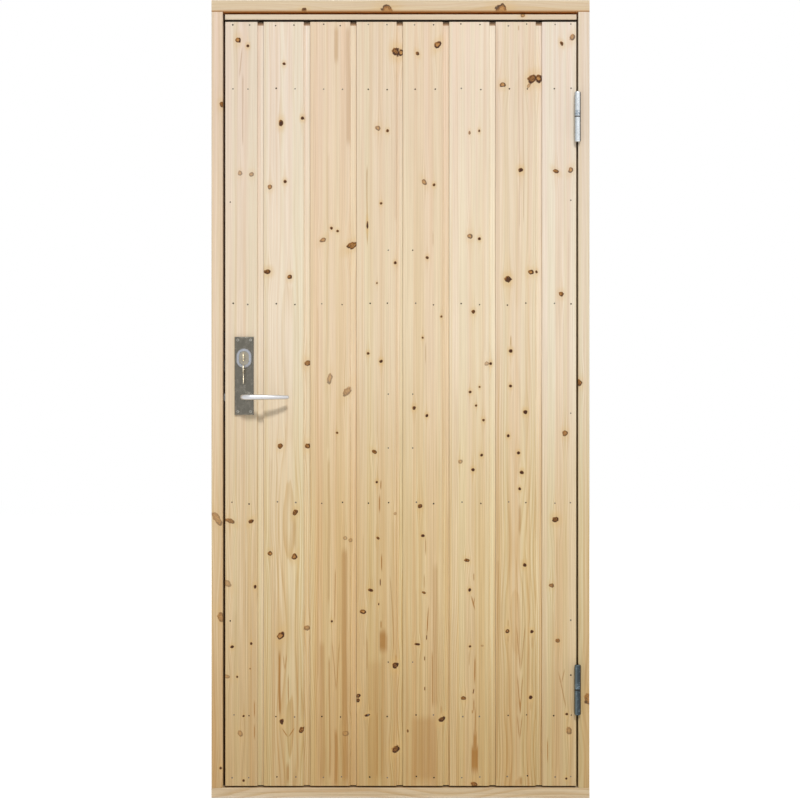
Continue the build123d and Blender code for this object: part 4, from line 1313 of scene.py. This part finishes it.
# %% Nails in the boards
nail_rows = (2025, 1857, 1294, 773, 215, 56)
nail_inset_left = 33 * mm
nail_inset_right = 23 * mm
first_board_inset = 20 * mm
last_board_extra = 7 * mm
nail_wobble = 3 * mm
share_of_dull = 0.6
nail_seed = 4
nail_size = {"Radius": 2.0 * mm, "Thickness": 0.6 * mm}
edge_nails = ((-446, 1561), (-446, 464), (446, 1566), (446, 1008), (446, 466), (446, 322),
              (-32, 1435), (32, 1435), (-32, 1058), (32, 1058), (-32, 917), (32, 917), (-32, 356), (32, 356))
scatter = random.Random(11)
nail_points = []
for name in board_names:
    low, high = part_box(name)
    face_end = high[0] - lip_under - channel
    if name == board_names[-1]:
        face_end = high[0] + last_board_extra
    inset = first_board_inset if name == board_names[0] else nail_inset_left
    for row in nail_rows:
        for x in (low[0] + inset, face_end - nail_inset_right):
            wobble_x = scatter.uniform(-nail_wobble, nail_wobble)
            wobble_z = scatter.uniform(-nail_wobble, nail_wobble)
            nail_points.append((x + wobble_x, board_face_y, row * mm + wobble_z))
for x, z in edge_nails:
    nail_points.append((x * mm, board_face_y, z * mm))
dull_ones = [point for point in nail_points if scatter.random() < share_of_dull]
shiny_ones = [point for point in nail_points if point not in dull_ones]
for name, points, steel in (("dull_nails", dull_ones, nail_steel), ("shiny_nails", shiny_ones, nail_zinc)):
    nails = grow(name, points, head_tree(name + " tree", steel, nail_seed), nail_size)
    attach(nails, "leaf")

# %% [markdown]
# ## Screws
# The lock's plates, its face strip, the strike and the hinge flags are all screwed on. A screw head is a
# low cone with a cross sunk in it. The tree cuts the cross from one head with a Boolean and stands a copy
# on every point, each turned by chance about its own axis, since nobody lines up screws. Four trees face
# four ways.

# %% Geometry Nodes: screw heads
head_sides = 32
head_top_share = 0.78
screw_inputs = (("Radius", 4 * mm), ("Thickness", 0.9 * mm),
                ("Slot Length", 4.4 * mm), ("Slot Width", 1.3 * mm))


def cross_head(tree, given):
    """One low cone with two crossed bars cut out of its top."""
    head = tree.nodes.new("GeometryNodeMeshCone")
    head.inputs["Vertices"].default_value = head_sides
    put(tree, head.inputs["Radius Top"], times(tree, given["Radius"], head_top_share))
    put(tree, head.inputs["Radius Bottom"], given["Radius"])
    put(tree, head.inputs["Depth"], given["Thickness"])
    cross = tree.nodes.new("GeometryNodeJoinGeometry")
    for length, width in (("Slot Length", "Slot Width"), ("Slot Width", "Slot Length")):
        bar = tree.nodes.new("GeometryNodeMeshCube")
        put(tree, bar.inputs["Size"], combine(tree, given[length], given[width], given["Thickness"]))
        put(tree, cross.inputs[0], bar.outputs["Mesh"])
    raised = tree.nodes.new("GeometryNodeTransform")
    put(tree, raised.inputs["Geometry"], cross.outputs[0])
    put(tree, raised.inputs["Translation"], combine(tree, 0.0, 0.0, given["Thickness"]))
    cut = tree.nodes.new("GeometryNodeMeshBoolean")
    cut.operation = "DIFFERENCE"
    put(tree, cut.inputs["Mesh 1"], head.outputs["Mesh"])
    put(tree, cut.inputs["Mesh 2"], raised.outputs["Geometry"])
    return cut.outputs["Mesh"]


def screw_tree(name, facing, seed):
    """A tree that puts a cross-headed screw on every point. Facing turns its axis from Z."""
    tree, given, out = geometry_tree(name, screw_inputs)
    stand = stand_on_points(tree, given["Geometry"], cross_head(tree, given), facing)
    turned = tree.nodes.new("GeometryNodeRotateInstances")
    put(tree, turned.inputs["Instances"], stand.outputs["Instances"])
    put(tree, turned.inputs["Rotation"], combine(tree, 0.0, 0.0, by_chance(tree, 0.0, math.pi, seed)))
    make_real(tree, turned.outputs["Instances"], screw_steel, out["Geometry"])
    return tree


facing_out = screw_tree("screws facing out", (quarter, 0, 0), 3)
facing_in = screw_tree("screws facing in", (-quarter, 0, 0), 5)
facing_hinges = screw_tree("screws facing the hinges", (0, quarter, 0), 7)
facing_lock = screw_tree("screws facing the lock", (0, -quarter, 0), 9)
print("nodes in a screw's tree:", len(facing_out.nodes))

# %% Screws on plates, strike, face strip and flags
plate_inset = 8.5 * mm
plate_radius = 4.1 * mm
strip_inset = 9.0 * mm
strip_radius = 3.2 * mm
screw_thickness = 1.0 * mm
slot_share = 1.15
flag_rises = (12 * mm, 30 * mm, 48 * mm)
flag_depths = (-36 * mm, -20 * mm, -36 * mm)
jamb_gap = 5 * mm


def plate_corners(node, y):
    """Four points near the corners of a plate, at a given Y."""
    low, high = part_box(node)
    return [
        (x, y, z)
        for x in (low[0] + plate_inset, high[0] - plate_inset)
        for z in (low[2] + plate_inset, high[2] - plate_inset)
    ]


def strip_ends(node, x):
    """Two points near the ends of an upright strip, at a given X."""
    low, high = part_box(node)
    middle = (low[1] + high[1]) / 2
    return [(x, middle, low[2] + strip_inset), (x, middle, high[2] - strip_inset)]


def flag_points(bottoms, x):
    """Three points on each hinge's flag, above its bottom, at a given X."""
    return [(x, y, bottom + rise) for bottom in bottoms for rise, y in zip(flag_rises, flag_depths)]


leaf_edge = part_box("board_8")[1][0]
frame_flags = [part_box(name)[0][2] for name in ("frame_hinge_upper", "frame_hinge_lower")]
outer_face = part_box("outer_plate")[0][1]
inner_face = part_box("inner_plate")[1][1]
case_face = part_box("lock_case")[0][0]
strike_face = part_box("strike_plate")[1][0]
on_leaf = flag_points((upper_split, lower_split), leaf_edge)
on_frame = flag_points(frame_flags, leaf_edge + jamb_gap)
screw_sets = (
    ("outer_plate_screws", "leaf", facing_out, plate_corners("outer_plate", outer_face), plate_radius),
    ("inner_plate_screws", "leaf", facing_in, plate_corners("inner_plate", inner_face), plate_radius),
    ("face_strip_screws", "leaf", facing_lock, strip_ends("lock_case", case_face), strip_radius),
    ("strike_screws", "frame", facing_hinges, strip_ends("strike_plate", strike_face), strip_radius),
    ("leaf_flag_screws", "leaf", facing_hinges, on_leaf, strip_radius),
    ("frame_flag_screws", "frame", facing_lock, on_frame, strip_radius),
)
for name, body, tree, points, radius in screw_sets:
    screw_size = {"Radius": radius, "Thickness": screw_thickness, "Slot Length": radius * slot_share}
    screws = grow(name, points, tree, screw_size)
    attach(screws, body)

# %% [markdown]
# ## Keys
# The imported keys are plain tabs, which is enough for them to turn. A real one is stamped from sheet: a
# round bow with a hole, a shoulder, and a blade whose lower edge is cut in steps that no other key has.
# Its outline is a list of points in the key's own plane, so that both keys are one function, turned two
# ways. A thin bevel on the stamped edges catches the light. Two curves, the edge and the hole, are filled
# and given that bevel.

# %% Keys: the outline
bow_radius = 12.0 * mm
bow_hole = 5.5 * mm
bow_sides = 40
hole_sides = 32
shoulder = bow_radius * 0.92
shoulder_depth = 3 * mm
shoulder_step = 1.0 * mm
blade_half = 3.7 * mm
first_cut = 5 * mm
tip_length = 3 * mm
cut_depths = (0.0, 1.4, 0.6, 2.2, 1.0, 2.6, 0.4, 1.8)


def key_outline(blade_length):
    """The key's edge, with the bow's centre at zero and the blade along the first axis."""
    open_angle = math.asin((blade_half + shoulder_step) / bow_radius)
    points = []
    for step in range(bow_sides + 1):
        angle = open_angle + (2 * math.pi - 2 * open_angle) * step / bow_sides
        points.append((bow_radius * math.cos(angle), bow_radius * math.sin(angle)))
    reach = bow_radius + blade_length
    points.append((shoulder + shoulder_depth, -blade_half - shoulder_step))
    points.append((shoulder + shoulder_depth, -blade_half))
    cuts_from = shoulder + first_cut
    cut_width = (reach - cuts_from - tip_length) / len(cut_depths)
    for count, depth in enumerate(cut_depths):
        level = -blade_half + depth * mm
        points.append((cuts_from + cut_width * (count + 0.25), level))
        points.append((cuts_from + cut_width * (count + 0.75), level))
    points.append((reach - 1 * mm, -blade_half * 0.3))
    points.append((reach, blade_half * 0.2))
    points.append((reach - 2.5 * mm, blade_half))
    points.append((shoulder + shoulder_depth, blade_half))
    points.append((shoulder + shoulder_depth, blade_half + shoulder_step))
    return points


# %% Keys: stamped from the outline
key_half_thickness = 1.1 * mm
key_bevel = 0.2 * mm


def curve_mesh(curve, material):
    """A plain mesh of one material, made from a curve that has a thickness."""
    shape = new_object(curve.name + "_shape", curve)
    mesh = plain_mesh(shape)
    bpy.data.objects.remove(shape)
    mesh.materials.clear()
    mesh.materials.append(material)
    return mesh


def make_key(name, centre, along, up, blade_length):
    """A stamped key. Along and up are unit vectors in the key's plane."""
    curve = bpy.data.curves.new(name, "CURVE")
    curve.dimensions = "2D"
    curve.fill_mode = "BOTH"
    angles = [2 * math.pi * step / hole_sides for step in range(hole_sides)]
    hole = [(bow_hole * math.cos(angle), bow_hole * math.sin(angle)) for angle in angles]
    for outline in (key_outline(blade_length), hole):
        spline = curve.splines.new("POLY")
        spline.points.add(len(outline) - 1)
        for point, (x, y) in zip(spline.points, outline):
            point.co = (x, y, 0, 1)
        spline.use_cyclic_u = True
    curve.extrude = key_half_thickness - key_bevel
    curve.bevel_depth = key_bevel
    curve.offset = -key_bevel
    mesh = curve_mesh(curve, key_nickel)
    across = Vector(along).cross(Vector(up))
    turn = Matrix((along, up, across)).transposed().to_4x4()
    mesh.transform(Matrix.Translation(centre) @ turn)
    return new_object(name, mesh)


key_low, key_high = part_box("key")
spare_low, spare_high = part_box("spare_key")
key_x = (key_low[0] + key_high[0]) / 2
key_z = (key_low[2] + key_high[2]) / 2
key_centre = Vector((key_x, key_low[1] + bow_radius, key_z))
spare_centre = Vector((key_centre.x, key_centre.y, spare_high[2] - bow_radius))
key_blade = key_high[1] - key_low[1] - 2 * bow_radius
spare_blade = spare_high[2] - spare_low[2] - 2 * bow_radius
turned_key = make_key("door_key", key_centre, (0, 1, 0), (0, 0, 1), key_blade)
hanging_key = make_key("second_key", spare_centre, (0, 0, -1), (0, 1, 0), spare_blade)
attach(turned_key, "turned_key")
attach(hanging_key, "hanging_ring")
for piece, node in ((turned_key, "key"), (hanging_key, "spare_key")):
    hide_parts(node)
print("key bow centre:", [round(value, 4) for value in key_centre])

# %% [markdown]
# A split ring is a flat coil of two turns. One spline follows it round: the angle grows by two whole
# turns while the place creeps sideways by one wire, so the ends overlap as they do on a real ring.

# %% Split ring
ring_low, ring_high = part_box("key_ring")
ring_centre = [(low + high) / 2 for low, high in zip(ring_low, ring_high)]
wire_radius = 0.38 * mm
wire_sides = 3
coil_radius = (ring_high[0] - ring_low[0]) / 2 - wire_radius
turns = 2
steps_per_turn = 40
first_angle = 0.8
ring_curve = bpy.data.curves.new("split_ring", "CURVE")
ring_curve.dimensions = "3D"
ring_curve.bevel_depth = wire_radius
ring_curve.bevel_resolution = wire_sides
ring_curve.use_fill_caps = True
ring_spline = ring_curve.splines.new("POLY")
ring_spline.points.add(turns * steps_per_turn)
for step, point in enumerate(ring_spline.points):
    angle = 2 * math.pi * step / steps_per_turn + first_angle
    sideways = (step / (turns * steps_per_turn) - 0.5) * wire_radius * 2
    x, y, z = ring_centre
    point.co = (x + coil_radius * math.cos(angle), y + sideways, z + coil_radius * math.sin(angle), 1)
ring_mesh = curve_mesh(ring_curve, cylinder_nickel)
for polygon in ring_mesh.polygons:
    polygon.use_smooth = True
split_ring = new_object("split_ring", ring_mesh)
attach(split_ring, "hanging_ring")
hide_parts("key_ring")
print("ring of", turns, "turns, radius", round(coil_radius, 4))

# %% [markdown]
# The floor is pale and plain. To the camera it glows at nearly the white of the sky, so the door seems to
# stand in the open page of a catalogue, yet a share of it is still lit and keeps the door's shadow.

# %% Floor
floor_half = 14.0
floor_pale = (0.8, 0.8, 0.8, 1)
floor_share = (0.3, 0.3, 0.3, 1)
floor_glow = 0.86
floor_corners = [(x * floor_half, y * floor_half, 0) for x, y in ((-1, -1), (1, -1), (1, 1), (-1, 1))]
floor_mesh = bpy.data.meshes.new("floor")
floor_mesh.from_pydata(floor_corners, [], [(0, 1, 2, 3)])
floor = new_object("floor", floor_mesh)
floor_material = bpy.data.materials.new("pale_floor")
floor_material.use_nodes = True
floor_tree = floor_material.node_tree
floor_tree.nodes.clear()
lit_floors = []
for colour in (floor_pale, floor_share):
    lit = floor_tree.nodes.new("ShaderNodeBsdfDiffuse")
    lit.inputs["Color"].default_value = colour
    lit_floors.append(lit.outputs[0])
glow = floor_tree.nodes.new("ShaderNodeEmission")
glow.inputs["Strength"].default_value = floor_glow
shown = floor_tree.nodes.new("ShaderNodeAddShader")
put(floor_tree, shown.inputs[0], lit_floors[1])
put(floor_tree, shown.inputs[1], glow.outputs[0])
floor_mix = mix_shaders(floor_tree, seen_directly(floor_tree), lit_floors[0], shown.outputs[0])
floor_out = floor_tree.nodes.new("ShaderNodeOutputMaterial")
put(floor_tree, floor_out.inputs["Surface"], floor_mix)
floor_mesh.materials.append(floor_material)
print("the floor glows at", floor_glow)
